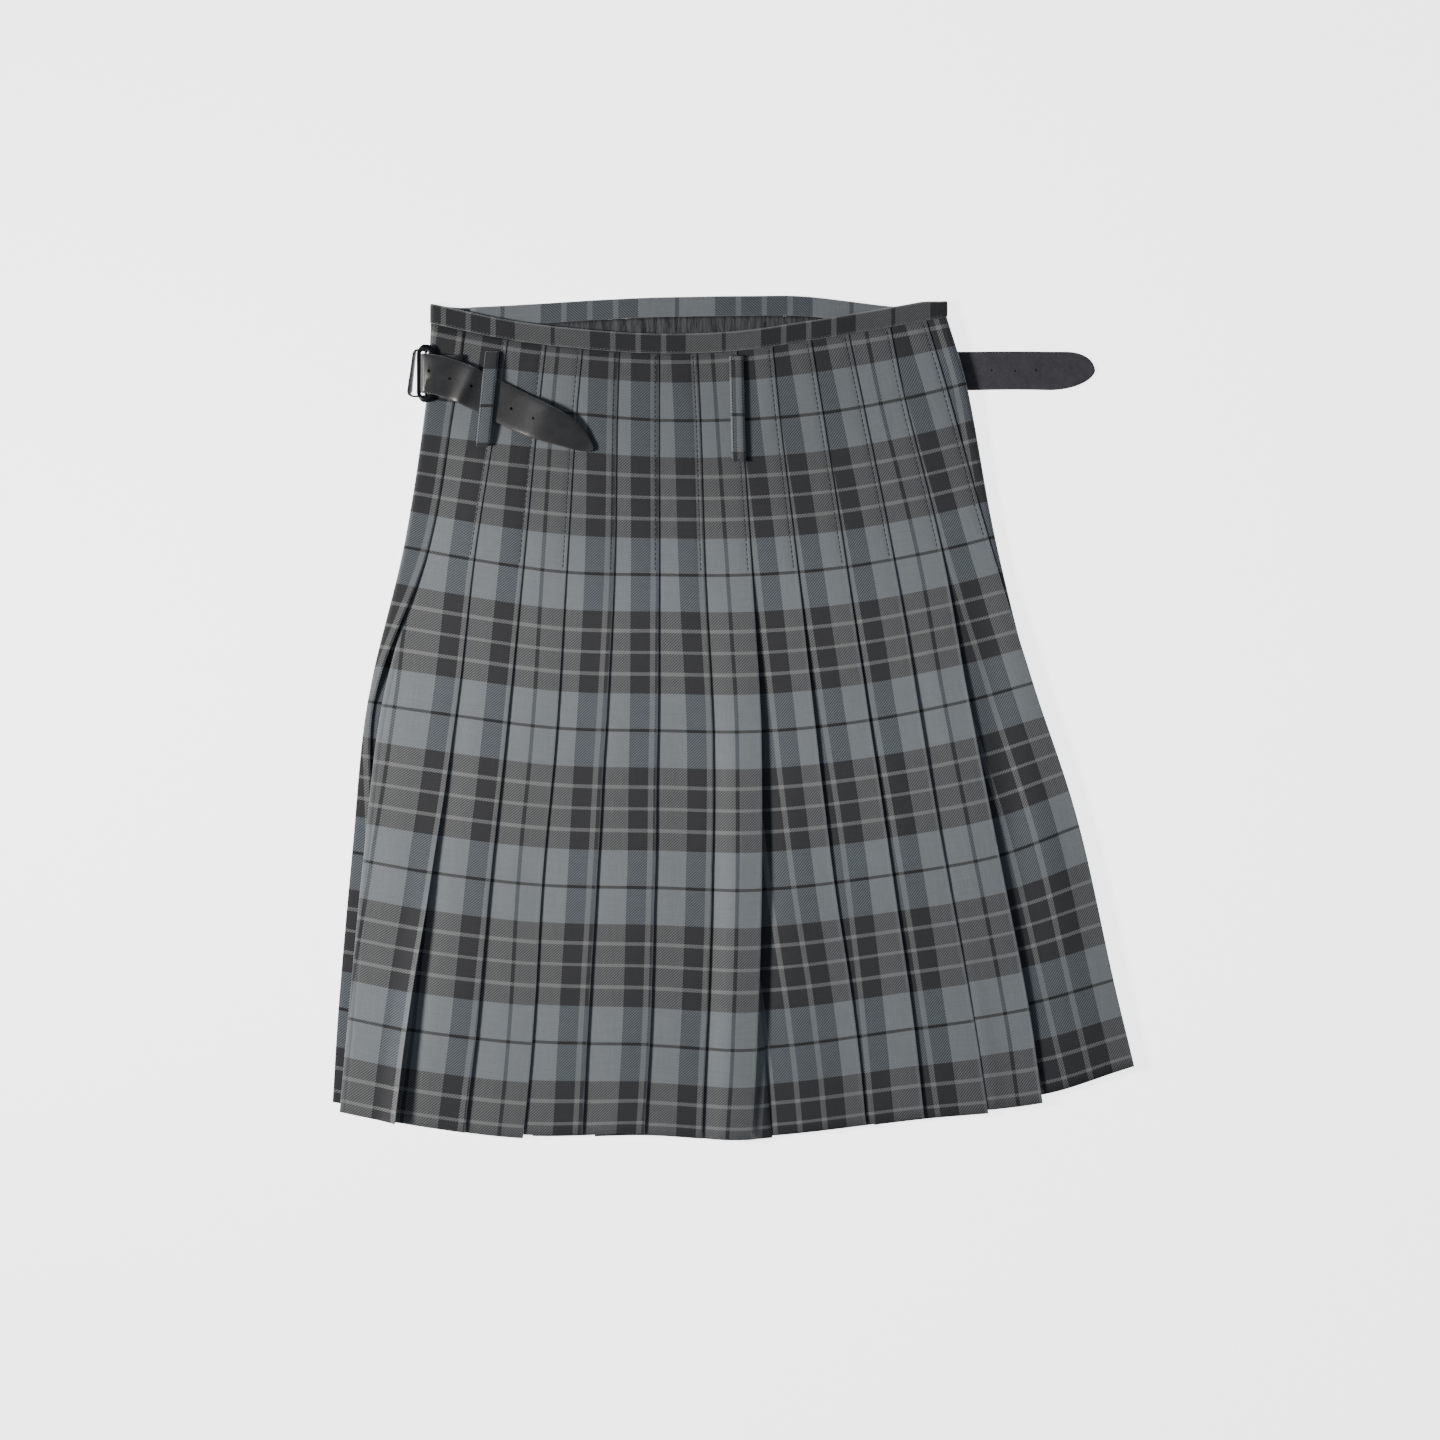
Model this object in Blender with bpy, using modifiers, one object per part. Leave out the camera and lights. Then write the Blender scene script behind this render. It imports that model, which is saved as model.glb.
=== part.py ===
# A knife-pleated kilt laid flat on its aprons, with the pleated back up.
# Sizes are in millimetres and become metres when a mesh is made.
# X runs across the kilt, Y from the hem up to the waistband, Z up from the surface.

import math
from collections import namedtuple
from functools import lru_cache

import bmesh
import bpy
from mathutils import Vector

MM = 0.001

CLOTH = 1.0            # wall of every cloth panel
GAP = 0.3              # between pieces, and between layers that lie on each other
LAYER = CLOTH + GAP
TURN = LAYER / 2       # mid-line radius of a pressed fold
BAND_WALL = 2.0        # the waistband is a folded strip
BAND_WIDTH = 15.3
LEATHER = 2.0

# Mid heights of the layers, from the surface up.
OVER_Z = CLOTH / 2
UNDER_Z = 2.0
LINING_Z = 3.5
OVER_BAND_Z = BAND_WALL / 2
UNDER_BAND_Z = 3.3
BACK_BAND_Z = 6.9
SURFACE_Z = 9.9        # above the highest fold edge between waist and fell

# The cloth is followed along these lines, each a length of cloth below the waist seam.
Level = namedtuple("Level", "name length left e2 e4 e6 e8 e10 e12 right")
LEVELS = [
    Level("seam", 0.0, 300.5, 288.0, 281.0, 277.5, 279.5, 287.5, 297.5, 305.5),
    Level("hip", 49.0, 244.5, 237.5, 232.0, 227.0, 227.5, 232.5, 243.5, 255.0),
    Level("fell", 167.0, 132.0, 122.0, 112.5, 110.5, 110.5, 116.5, 129.5, 139.5),
    Level("thigh", 287.0, 12.0, 2.5, -7.0, -9.0, -9.5, -1.0, 14.0, 27.0),
    Level("knee", 407.0, -107.5, -118.0, -127.5, -129.5, -131.0, -119.5, -105.0, -84.5),
    Level("calf", 526.0, -227.5, -237.5, -248.0, -249.5, -252.5, -237.0, -223.0, -206.5),
    Level("hem", 595.0, -300.5, -309.5, -321.0, -319.0, -322.0, -306.5, -296.5, -276.5),
]

# Where each fold or edge crosses those lines: X in millimetres.
# knee_lift and hem_lift are how far the fold stands up where the pleat falls open,
# and face_up is how much higher the face that begins there hangs at the hem.
Edge = namedtuple("Edge", "name seam hip fell thigh knee calf hem knee_lift hem_lift face_up")
EDGES = [
    Edge("left", -230.5, -234.0, -251.0, -279.0, -291.0, -301.5, -306.0, 0.0, 0.0, 0.0),
    Edge("strip", -204.5, -212.5, -232.5, -274.0, -276.0, -287.5, -294.0, 0.0, 0.0, 0.0),
    Edge("first", -219.0, -224.0, -238.0, -268.0, -282.5, -294.0, -300.5, 0.0, 0.0, 0.0),
    Edge("e2", -172.0, -179.5, -197.5, -211.5, -229.5, -248.5, -257.0, 2.0, 4.5, 0.0),
    Edge("e3", -143.0, -148.5, -160.0, -172.0, -185.0, -196.0, -204.5, 1.5, 2.0, 0.0),
    Edge("e4", -115.0, -119.5, -127.0, -134.5, -145.5, -153.0, -160.5, 1.0, 1.5, 2.5),
    Edge("e5", -87.0, -88.5, -90.5, -97.0, -104.0, -111.0, -115.0, 1.5, 1.5, 1.5),
    Edge("e6", -56.5, -56.5, -56.5, -57.5, -59.5, -63.5, -67.5, 1.5, 1.5, 0.0),
    Edge("e7", -27.5, -25.0, -21.5, -15.5, -16.0, -20.5, -23.5, 1.5, 2.0, 0.0),
    Edge("e8", 3.0, 6.5, 14.5, 21.5, 22.0, 18.5, 14.5, 4.5, 5.0, 1.5),
    Edge("e9", 30.0, 35.5, 49.5, 63.0, 77.5, 95.0, 101.5, 2.0, 1.5, 1.0),
    Edge("e10", 59.5, 68.5, 86.5, 104.0, 122.0, 138.5, 146.0, 2.0, 1.5, 0.0),
    Edge("e11", 88.0, 99.5, 122.5, 142.5, 162.5, 184.0, 195.0, 1.5, 1.0, 2.5),
    Edge("e12", 120.0, 131.0, 159.0, 180.0, 203.5, 226.0, 236.5, 3.5, 3.5, 8.5),
    Edge("e13", 147.5, 163.0, 194.5, 228.5, 264.0, 290.0, 306.0, 1.0, 1.0, 8.5),
    Edge("right", 163.0, 178.0, 199.5, 227.0, 258.0, 284.0, 300.0, 0.0, 0.0, 0.0),
]

# How the pleats are stacked, and how far up the front rows lie from the back ones.
Stack = namedtuple("Stack", "length inner_z rise depth front_share front_up")
STACKS = [
    Stack(0.0, 4.8, 4.2, 16.0, 0.0, 2.0),
    Stack(49.0, 4.8, 4.6, 22.0, 0.3, 0.0),
    Stack(108.0, 3.3, 5.3, 30.0, 0.6, 0.0),
    Stack(167.0, 3.3, 5.6, 36.0, 0.8, 0.0),
    Stack(287.0, 3.3, 5.5, 36.0, 1.0, 1.5),
    Stack(407.0, 3.3, 5.4, 38.0, 1.0, 5.0),
    Stack(595.0, 3.3, 5.4, 38.0, 1.0, 6.5),
]

# The strip of over apron that comes round the left side: on top of the pleats
# down to the fell, then tucked under the first face.
Strip = namedtuple("Strip", "length left_z end_z")
STRIPS = [
    Strip(0.0, 7.0, 9.0),
    Strip(49.0, 7.0, 9.4),
    Strip(108.0, 6.3, 8.6),
    Strip(167.0, 6.3, 8.9),
    Strip(222.0, 6.0, 8.0),
    Strip(255.0, 4.0, 4.4),
    Strip(287.0, 2.1, 2.0),
    Strip(595.0, 2.0, 2.0),
]

ROWS = [0.0, 24.0, 49.0, 78.0, 108.0, 137.0, 167.0, 195.0, 222.0, 255.0, 287.0,
        327.0, 367.0, 407.0, 447.0, 487.0, 526.0, 560.0, 595.0]

STATIONS = ["left", "e2", "e4", "e6", "e8", "e10", "e12", "right"]
FOLDS = ["e2", "e3", "e4", "e5", "e6", "e7", "e8", "e9", "e10", "e11", "e12", "e13"]
FACE_ABOVE = dict(zip(FOLDS, ["first"] + FOLDS))
EDGE_BY_NAME = {edge.name: edge for edge in EDGES}
LEVEL_LENGTHS = [level.length for level in LEVELS]

LIFT_START = 167.0     # pleats are sewn flat above this length, and open below it
LIFT_WIDTH = 14.0      # how far back from a fold its lift begins
SHOULDER = 6.0         # from a fold to the shoulder of the face below it
LAYER_SLACK = 0.1      # kept free between the layers of neighbouring pleats
FIRST_SHARE = 0.5      # the first pleat is this much of its face deep at most
FIRST_LEG = 5.0        # turned-under edge of the first face
APRON_TUCK = 7.0       # the over apron stops this far inside the right side
APRON_STEPS = 6
STRIP_BLEND = 50.0     # length over which the turned strip goes under the first face
UNDER_START = 30.0     # the under apron and its band stop this far inside the left side
UNDER_LIFT = 1.4       # the right side's turn starts this far above the under apron
UNDER_SETTLE = 16.0    # distance in which the under apron comes down from that turn
UNDER_STEPS = 5
LINING_DROP = 55.0
LINING_INSET = 36.0    # the lining stops this far inside both sides
LINING_STEPS = 6
BAND_FRONT_STEPS = 10
BAND_BACK_STEPS = 20

COLLECTION = "kilt"


def interpolate(positions, values, at):
    """A smooth curve through the values, straight past both ends."""
    last = len(positions) - 1
    if at <= positions[0] or at >= positions[last]:
        i, j = (0, 1) if at <= positions[0] else (last - 1, last)
        slope = (values[j] - values[i]) / (positions[j] - positions[i])
        anchor = i if at <= positions[0] else j
        return values[anchor] + slope * (at - positions[anchor])
    i = max(k for k in range(last) if positions[k] <= at)

    def slope_at(k):
        lower, upper = max(k - 1, 0), min(k + 1, last)
        return (values[upper] - values[lower]) / (positions[upper] - positions[lower])

    step = positions[i + 1] - positions[i]
    t = (at - positions[i]) / step
    start, end = slope_at(i) * step, slope_at(i + 1) * step
    return ((2 * t ** 3 - 3 * t ** 2 + 1) * values[i] + (t ** 3 - 2 * t ** 2 + t) * start
            + (3 * t ** 2 - 2 * t ** 3) * values[i + 1] + (t ** 3 - t ** 2) * end)


def ramp(table, field, at):
    """Straight-line value of one column of a table with a length column."""
    rows = [row for row in table if row.length <= at] or [table[0]]
    low = rows[-1]
    high = next((row for row in table if row.length > at), low)
    if high is low:
        return getattr(low, field)
    t = (at - low.length) / (high.length - low.length)
    return getattr(low, field) * (1 - t) + getattr(high, field) * t


def edge_x(name, length):
    edge = EDGE_BY_NAME[name]
    return interpolate(LEVEL_LENGTHS, [getattr(edge, level.name) for level in LEVELS], length)


def edge_lift(name, length):
    """Height that a fold gains below the fell, where its pleat falls open."""
    edge = EDGE_BY_NAME[name]
    knee, hem = LEVELS[4].length, LEVELS[6].length
    if length <= LIFT_START:
        return 0.0
    if length <= knee:
        return edge.knee_lift * (length - LIFT_START) / (knee - LIFT_START)
    return edge.knee_lift + (edge.hem_lift - edge.knee_lift) * (length - knee) / (hem - knee)


def face_rise(name, length):
    """How much higher the face that begins at this fold lies, below the knee."""
    knee, hem = LEVELS[4].length, LEVELS[6].length
    return EDGE_BY_NAME[name].face_up * max(0.0, (length - knee) / (hem - knee))


def back_y(length, x):
    """Y of the back's cloth line at this length, at one X."""
    across = [edge_x(name, length) for name in STATIONS]
    down = []
    for name in STATIONS:
        down.append(interpolate(LEVEL_LENGTHS, [getattr(level, name) for level in LEVELS], length))
    return interpolate(across, down, x)


def front_y(length, x):
    """Y of the same line on the aprons, which lie a little higher than the back."""
    left, right = edge_x("left", length), edge_x("right", length)
    t = (x - left) / (right - left)
    straight = back_y(length, left) * (1 - t) + back_y(length, right) * t
    share = ramp(STACKS, "front_share", length)
    bow = 4 * t * (1 - t) if length < LEVELS[3].length else 1.0
    up = ramp(STACKS, "front_up", length) * bow * (1 + t)
    return straight * (1 - share) + back_y(length, x) * share + up


@lru_cache(maxsize=None)
def pleat_depths(length):
    """Hidden depth of each pleat, kept shallow enough to lie under the face above."""
    most = ramp(STACKS, "depth", length)
    room = 1 - (2 * LAYER + LAYER_SLACK) / ramp(STACKS, "rise", length)
    depths = {}
    face = edge_x("e2", length) - edge_x("first", length)
    for fold, following in zip(FOLDS, FOLDS[1:] + ["e13"]):
        share = FIRST_SHARE if fold == "e2" else room
        depths[fold] = min(most, share * face)
        face = edge_x(following, length) - edge_x(fold, length) + depths[fold]
    return depths


def pleat_depth(name, length):
    return pleat_depths(length)[name]


def face_z(inner_x, outer_x, inner_z, outer_z, x):
    return inner_z + (outer_z - inner_z) * (x - inner_x) / (outer_x - inner_x)


def fold_points(name, length, face_start_x, face_start_z):
    """Mid-line over one outer fold: the face's lift, the fold, and the return beneath."""
    inner_z = ramp(STACKS, "inner_z", length)
    top_z = inner_z + ramp(STACKS, "rise", length)
    x = edge_x(name, length)
    depth = pleat_depth(name, length)
    lift = edge_lift(name, length)
    back = x - min(LIFT_WIDTH, 0.75 * depth)
    face = face_z(face_start_x, x, face_start_z, top_z, back)
    under = face_z(x - depth, x, inner_z + LAYER, top_z - LAYER, back)
    above = face_rise(FACE_ABOVE[name], length)
    below = face_rise(name, length)
    between = (above + below) / 2
    return [
        (back, face, above),
        (x - TURN, top_z + lift, above),
        (x, top_z + lift - TURN, above),
        (x - TURN, top_z + lift - LAYER, above),
        (back, under, between),
        (x - depth + TURN, inner_z + LAYER, below),
    ]


def inner_fold_points(name, next_name, length):
    """Mid-line round the inner fold and out to the shoulder of the next face."""
    inner_z = ramp(STACKS, "inner_z", length)
    top_z = inner_z + ramp(STACKS, "rise", length)
    x = edge_x(name, length)
    start = x - pleat_depth(name, length)
    shoulder = x + SHOULDER
    z = face_z(start, edge_x(next_name, length), inner_z, top_z, shoulder)
    below = face_rise(name, length)
    return [(start, inner_z + TURN, below), (start + TURN, inner_z, below), (shoulder, z, below)]


def back_section(length):
    """Mid-line of the pleated back from its first face to the last inner fold."""
    inner_z = ramp(STACKS, "inner_z", length)
    first = edge_x("first", length)
    points = [
        (first + FIRST_LEG, inner_z, 0.0),
        (first + TURN, inner_z, 0.0),
        (first, inner_z + TURN, 0.0),
        (first + TURN, inner_z + LAYER, 0.0),
    ]
    start_x, start_z = first + TURN, inner_z + LAYER
    for fold, following in zip(FOLDS, FOLDS[1:] + [None]):
        points += fold_points(fold, length, start_x, start_z)
        if following:
            points += inner_fold_points(fold, following, length)
            start_x, start_z = edge_x(fold, length) - pleat_depth(fold, length), inner_z
    return [(x, back_y(length, x) + up, z) for x, z, up in points]


def half_turn(x, low_z, high_z, side, steps=4):
    """Points round a side fold that stands between two heights; side is -1 left, 1 right."""
    radius = (high_z - low_z) / 2
    points = []
    for i in range(steps + 1):
        angle = -math.pi / 2 + math.pi * i / steps
        points.append((x - side * radius + side * radius * math.cos(angle),
                       (low_z + high_z) / 2 + radius * math.sin(angle)))
    return points


def over_apron_section(length):
    """From the free edge at the right, along the surface, and round the left side."""
    free = edge_x("right", length) - APRON_TUCK
    left = edge_x("left", length)
    left_z = ramp(STRIPS, "left_z", length)
    end_z = ramp(STRIPS, "end_z", length)
    end = edge_x("strip", length)
    turn = half_turn(left, OVER_Z, left_z, -1)
    points = []
    for i in range(APRON_STEPS):
        x = free + (turn[0][0] - free) * i / APRON_STEPS
        points.append((x, front_y(length, x), OVER_Z))
    start = turn[-1][0]
    strip = [(start + (end - start) * t, left_z + (end_z - left_z) * t) for t in (0.5, 1.0)]
    thigh = LEVELS[3].length
    share = max(0.0, min(1.0, (thigh - length) / STRIP_BLEND))
    for x, z in turn + strip:
        y = back_y(length, x) * share + front_y(length, x) * (1 - share)
        points.append((x, y, z))
    return points


def right_height(length):
    """Height of the last face as it reaches the right side."""
    inner_z = ramp(STACKS, "inner_z", length)
    rise = ramp(STACKS, "rise", length)
    fold = edge_x("e13", length)
    depth = pleat_depth("e13", length)
    slope = (rise - 2 * (LAYER + LAYER_SLACK)) / depth
    return inner_z + slope * (edge_x("right", length) - fold + depth)


def under_apron_section(length):
    """From the last inner fold out to the right side, round it, and back to the left."""
    inner_z = ramp(STACKS, "inner_z", length)
    start = edge_x("e13", length) - pleat_depth("e13", length)
    right = edge_x("right", length)
    high = right_height(length)
    turn = list(reversed(half_turn(right, UNDER_Z + UNDER_LIFT, high, 1)))
    up = face_rise("e13", length)
    points = [(x, back_y(length, x) + up, z) for x, z in [(start + TURN, inner_z)] + turn]
    panel_start = turn[-1][0] - UNDER_SETTLE
    panel_end = edge_x("left", length) + UNDER_START
    for i in range(UNDER_STEPS + 1):
        x = panel_start + (panel_end - panel_start) * i / UNDER_STEPS
        points.append((x, front_y(length, x), UNDER_Z))
    return points


def sheet(name, rows, wall, material):
    """A wall of even thickness round a mid-surface given as rows of points."""
    mesh = bpy.data.meshes.new(name)
    grid = bmesh.new()
    verts = [[grid.verts.new(Vector(point) * MM) for point in row] for row in rows]
    for upper, lower in zip(verts, verts[1:]):
        for i in range(len(upper) - 1):
            grid.faces.new((upper[i], upper[i + 1], lower[i + 1], lower[i]))
    grid.normal_update()
    grid.to_mesh(mesh)
    grid.free()
    mesh.materials.append(material)
    piece = bpy.data.objects.new(name, mesh)
    bpy.data.collections[COLLECTION].objects.link(piece)
    solid = piece.modifiers.new("wall", "SOLIDIFY")
    solid.thickness = wall * MM
    solid.offset = 0.0
    solid.use_even_offset = True
    return piece


def material(name, colour, roughness, metallic=0.0):
    made = bpy.data.materials.new(name)
    made.use_nodes = True
    shader = made.node_tree.nodes["Principled BSDF"]
    shader.inputs["Base Color"].default_value = (*colour, 1.0)
    shader.inputs["Roughness"].default_value = roughness
    shader.inputs["Metallic"].default_value = metallic
    return made


def clear_scene():
    for old in list(bpy.data.objects):
        bpy.data.objects.remove(old, do_unlink=True)
    home = bpy.data.collections.new(COLLECTION)
    bpy.context.scene.collection.children.link(home)


def cloth_panels():
    tartan = material("tartan", (0.15, 0.17, 0.18), 0.85)
    sheet("pleated_back", [back_section(length) for length in ROWS], CLOTH, tartan)
    sheet("over_apron", [over_apron_section(length) for length in ROWS], CLOTH,
          material("apron_tartan", (0.15, 0.17, 0.18), 0.85))
    sheet("under_apron", [under_apron_section(length) for length in ROWS], CLOTH,
          material("under_tartan", (0.14, 0.16, 0.17), 0.85))


def lining():
    """Plain lining on the inside of the front, where the waist lies open."""
    left, right = edge_x("left", 0.0) + LINING_INSET, edge_x("right", 0.0) - LINING_INSET
    rows = []
    for down in (0.0, LINING_DROP / 2, LINING_DROP):
        row = []
        for i in range(LINING_STEPS + 1):
            x = left + (right - left) * i / LINING_STEPS
            row.append((x, front_y(0.0, x) - down, LINING_Z))
        rows.append(row)
    sheet("lining", rows, CLOTH, material("lining", (0.04, 0.04, 0.045), 0.7))


def waistband():
    """One folded strip: over apron, left side, back, right side, under apron."""
    left, right = edge_x("left", 0.0), edge_x("right", 0.0)
    over_start = right - APRON_TUCK
    over_end = left + (BACK_BAND_Z - OVER_BAND_Z) / 2
    path = []
    for i in range(BAND_FRONT_STEPS):
        x = over_start + (over_end - over_start) * i / BAND_FRONT_STEPS
        path.append((x, OVER_BAND_Z, False))
    for x, z in half_turn(left, OVER_BAND_Z, BACK_BAND_Z, -1):
        path.append((x, z, z > UNDER_BAND_Z))
    back_end = right - (BACK_BAND_Z - UNDER_BAND_Z) / 2
    for i in range(1, BAND_BACK_STEPS):
        x = over_end + (back_end - over_end) * i / BAND_BACK_STEPS
        path.append((x, BACK_BAND_Z, True))
    for x, z in reversed(half_turn(right, UNDER_BAND_Z, BACK_BAND_Z, 1)):
        path.append((x, z, z > UNDER_BAND_Z))
    under_end = left + UNDER_START
    for i in range(1, BAND_FRONT_STEPS + 1):
        x = back_end + (under_end - back_end) * i / BAND_FRONT_STEPS
        path.append((x, UNDER_BAND_Z, False))
    rows = []
    for share in (0.0, 0.5, 1.0):
        row = []
        for x, z, on_back in path:
            low = (back_y(0.0, x) if on_back else front_y(0.0, x)) + GAP
            row.append((x, low + share * BAND_WIDTH, z))
        rows.append(row)
    sheet("waistband", rows, BAND_WALL, material("band_tartan", (0.14, 0.16, 0.17), 0.85))


# Where the loops, the straps and the buckle lie on the cloth.
Loop = namedtuple("Loop", "name top_x top_y bottom_x bottom_y bulge")
LOOPS = [
    Loop("belt_loop_left", -183.5, 279.0, -190.5, 207.0, 3.6),
    Loop("belt_loop_centre", 2.5, 275.5, 4.5, 195.0, 1.4),
]
LOOP_WIDTH = 10.7
LOOP_WALL = 2.0
LOOP_STEPS = 8

# The left strap from its pointed tail to the buckle: centre line, height and half widths.
StrapRow = namedtuple("StrapRow", "x y z upper lower")
LEFT_STRAP = [
    StrapRow(-107.0, 204.0, 11.3, 1.0, 1.0),
    StrapRow(-109.5, 205.5, 11.3, 4.5, 3.2),
    StrapRow(-117.0, 209.5, 11.3, 9.5, 6.5),
    StrapRow(-126.0, 214.5, 11.3, 13.0, 9.0),
    StrapRow(-140.0, 221.5, 11.3, 15.0, 12.0),
    StrapRow(-155.0, 229.0, 11.3, 15.0, 14.5),
    StrapRow(-170.0, 236.5, 11.3, 15.0, 15.0),
    StrapRow(-184.0, 243.5, 11.3, 15.0, 15.0),
    StrapRow(-196.0, 250.0, 11.6, 15.0, 15.0),
    StrapRow(-205.0, 254.0, 13.0, 15.0, 15.0),
    StrapRow(-214.0, 257.5, 13.2, 15.0, 15.0),
    StrapRow(-224.0, 260.5, 13.8, 15.0, 15.0),
]
STRAP_HALF = 15.0
BUCKLE_Y = 262.5
BAR_X, BAR_Z = -236.5, 10.0
BAR_RADIUS = 1.0
FRAME_LEFT, FRAME_RIGHT = -246.4, -231.6
FRAME_HALF = 21.0      # from the strap's centre line to the frame's wire
FRAME_CORNER = 4.0
FRAME_RADIUS = 1.2
FRAME_TILT = 0.1       # rise for each unit along X, about the bar
CHAPE_WALL = 1.2
CHAPE_HALF = 14.0
CHAPE_PATH = [(-206.0, 10.8), (-213.5, 10.8), (-220.5, 10.0), (-229.0, 8.8)]
CHAPE_RADIUS = BAR_RADIUS + GAP + CHAPE_WALL / 2
STRAP_RADIUS = CHAPE_RADIUS + CHAPE_WALL / 2 + GAP + LEATHER / 2
TURN_STEPS = 6

# The right strap lies flat on the surface, from the apron's edge to its pointed tip.
SUEDE_Y = 265.0
SUEDE_HALF = 14.8
SUEDE_WALL = 1.8
SUEDE_LENGTHS = (24.0, 56.0)      # where its root meets the apron's edge
SUEDE_MIDDLE, SUEDE_STRAIGHT, SUEDE_TIP = 215.0, 250.0, 277.0


def belt_loops():
    """Two folded strips, sewn flat at their ends and standing off the cloth between."""
    half = LOOP_WIDTH / 2
    for loop in LOOPS:
        rows = []
        for i in range(LOOP_STEPS + 1):
            t = i / LOOP_STEPS
            x = loop.top_x + (loop.bottom_x - loop.top_x) * t
            y = loop.top_y + (loop.bottom_y - loop.top_y) * t
            z = SURFACE_Z + GAP + LOOP_WALL / 2 + loop.bulge * math.sin(math.pi * t) ** 0.5
            rows.append([(x - half, y, z), (x + half, y, z)])
        sheet(loop.name, rows, LOOP_WALL, material(loop.name, (0.12, 0.13, 0.14), 0.85))


def strap_left():
    """The under apron's strap: out of the left side, round the bar and back over the cloth."""
    rows = []
    for i, row in enumerate(LEFT_STRAP):
        ahead = LEFT_STRAP[min(i + 1, len(LEFT_STRAP) - 1)]
        behind = LEFT_STRAP[max(i - 1, 0)]
        along = Vector((ahead.x - behind.x, ahead.y - behind.y, 0.0)).normalized()
        across = Vector((along.y, -along.x, 0.0))
        centre = Vector((row.x, row.y, row.z))
        rows.append([centre + across * row.upper, centre - across * row.lower])
    turn = []
    for i in range(TURN_STEPS + 1):
        angle = math.pi / 2 + math.pi * i / TURN_STEPS
        turn.append((BAR_X + STRAP_RADIUS * math.cos(angle), BAR_Z + STRAP_RADIUS * math.sin(angle)))
    root_length = LEVELS[1].length
    turn.append((edge_x("left", root_length) - CLOTH / 2 - GAP, BAR_Z - STRAP_RADIUS))
    for x, z in turn:
        rows.append([(x, BUCKLE_Y + STRAP_HALF, z), (x, BUCKLE_Y - STRAP_HALF, z)])
    sheet("strap_left", rows, LEATHER, material("strap_leather", (0.02, 0.02, 0.022), 0.4))


def buckle_chape():
    """A short leather piece, sewn to the cloth under the strap, that holds the bar."""
    path = list(CHAPE_PATH)
    for i in range(TURN_STEPS + 1):
        angle = -math.pi / 2 - math.pi * i / TURN_STEPS
        path.append((BAR_X + CHAPE_RADIUS * math.cos(angle), BAR_Z + CHAPE_RADIUS * math.sin(angle)))
    rows = [[(x, BUCKLE_Y - CHAPE_HALF, z), (x, BUCKLE_Y + CHAPE_HALF, z)] for x, z in path]
    sheet("buckle_chape", rows, CHAPE_WALL, material("chape_leather", (0.02, 0.02, 0.022), 0.5))


def tube(name, points, radius, cyclic, made):
    curve = bpy.data.curves.new(name, "CURVE")
    curve.dimensions = "3D"
    curve.bevel_depth = radius * MM
    curve.bevel_resolution = 2
    curve.use_fill_caps = True
    spline = curve.splines.new("POLY")
    spline.points.add(len(points) - 1)
    for point, (x, y, z) in zip(spline.points, points):
        point.co = (x * MM, y * MM, z * MM, 1.0)
    spline.use_cyclic_u = cyclic
    curve.materials.append(made)
    piece = bpy.data.objects.new(name, curve)
    bpy.data.collections[COLLECTION].objects.link(piece)
    return piece


def buckle():
    """A rounded frame that tilts over the left side, with its plain cross bar."""
    steel = material("buckle_metal", (0.55, 0.54, 0.5), 0.3, 1.0)
    inner_left, inner_right = FRAME_LEFT + FRAME_CORNER, FRAME_RIGHT - FRAME_CORNER
    inner_half = FRAME_HALF - FRAME_CORNER
    corners = [(inner_right, inner_half), (inner_left, inner_half),
               (inner_left, -inner_half), (inner_right, -inner_half)]
    points = []
    for quarter, (centre_x, centre_y) in enumerate(corners):
        for i in range(4):
            angle = math.radians(90 * quarter + 30 * i)
            x = centre_x + FRAME_CORNER * math.cos(angle)
            y = BUCKLE_Y + centre_y + FRAME_CORNER * math.sin(angle)
            points.append((x, y, BAR_Z + FRAME_TILT * (x - BAR_X)))
    tube("buckle_frame", points, FRAME_RADIUS, True, steel)
    reach = FRAME_HALF - FRAME_RADIUS - GAP
    tube("buckle_bar", [(BAR_X, BUCKLE_Y - reach, BAR_Z), (BAR_X, BUCKLE_Y, BAR_Z),
                        (BAR_X, BUCKLE_Y + reach, BAR_Z)], BAR_RADIUS, False,
         material("bar_metal", (0.5, 0.5, 0.48), 0.35, 1.0))


def strap_right():
    """The over apron's strap, flesh side up, on the surface beside the apron's edge."""
    upper, lower = SUEDE_Y + SUEDE_HALF, SUEDE_Y - SUEDE_HALF
    z = SUEDE_WALL / 2
    root_upper = edge_x("right", SUEDE_LENGTHS[0]) - APRON_TUCK + GAP
    root_lower = edge_x("right", SUEDE_LENGTHS[1]) - APRON_TUCK + GAP
    rows = [[(root_upper, upper, z), (root_lower, lower, z)]]
    rows.append([(SUEDE_MIDDLE, upper, z), (SUEDE_MIDDLE, lower, z)])
    for t in (0.0, 0.25, 0.5, 0.72, 0.88, 0.97, 1.0):
        x = SUEDE_STRAIGHT + (SUEDE_TIP - SUEDE_STRAIGHT) * t
        half = max(1.0, SUEDE_HALF * math.sqrt(1 - t ** 2.6))
        rows.append([(x, SUEDE_Y + half, z), (x, SUEDE_Y - half, z)])
    sheet("strap_right", rows, SUEDE_WALL, material("strap_suede", (0.045, 0.04, 0.05), 0.9))


clear_scene()
cloth_panels()
lining()
waistband()
belt_loops()
strap_left()
buckle_chape()
buckle()
strap_right()
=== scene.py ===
# Dresses the laid-out kilt: pleated tartan, aprons, waistband, loops, straps and buckle.
# Sizes are in millimetres and become metres when a mesh is made. X runs across the kilt,
# Y from the hem up to the waistband, Z up from the table.

import math
from functools import lru_cache

import bmesh
import bpy
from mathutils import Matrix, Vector, noise


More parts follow.
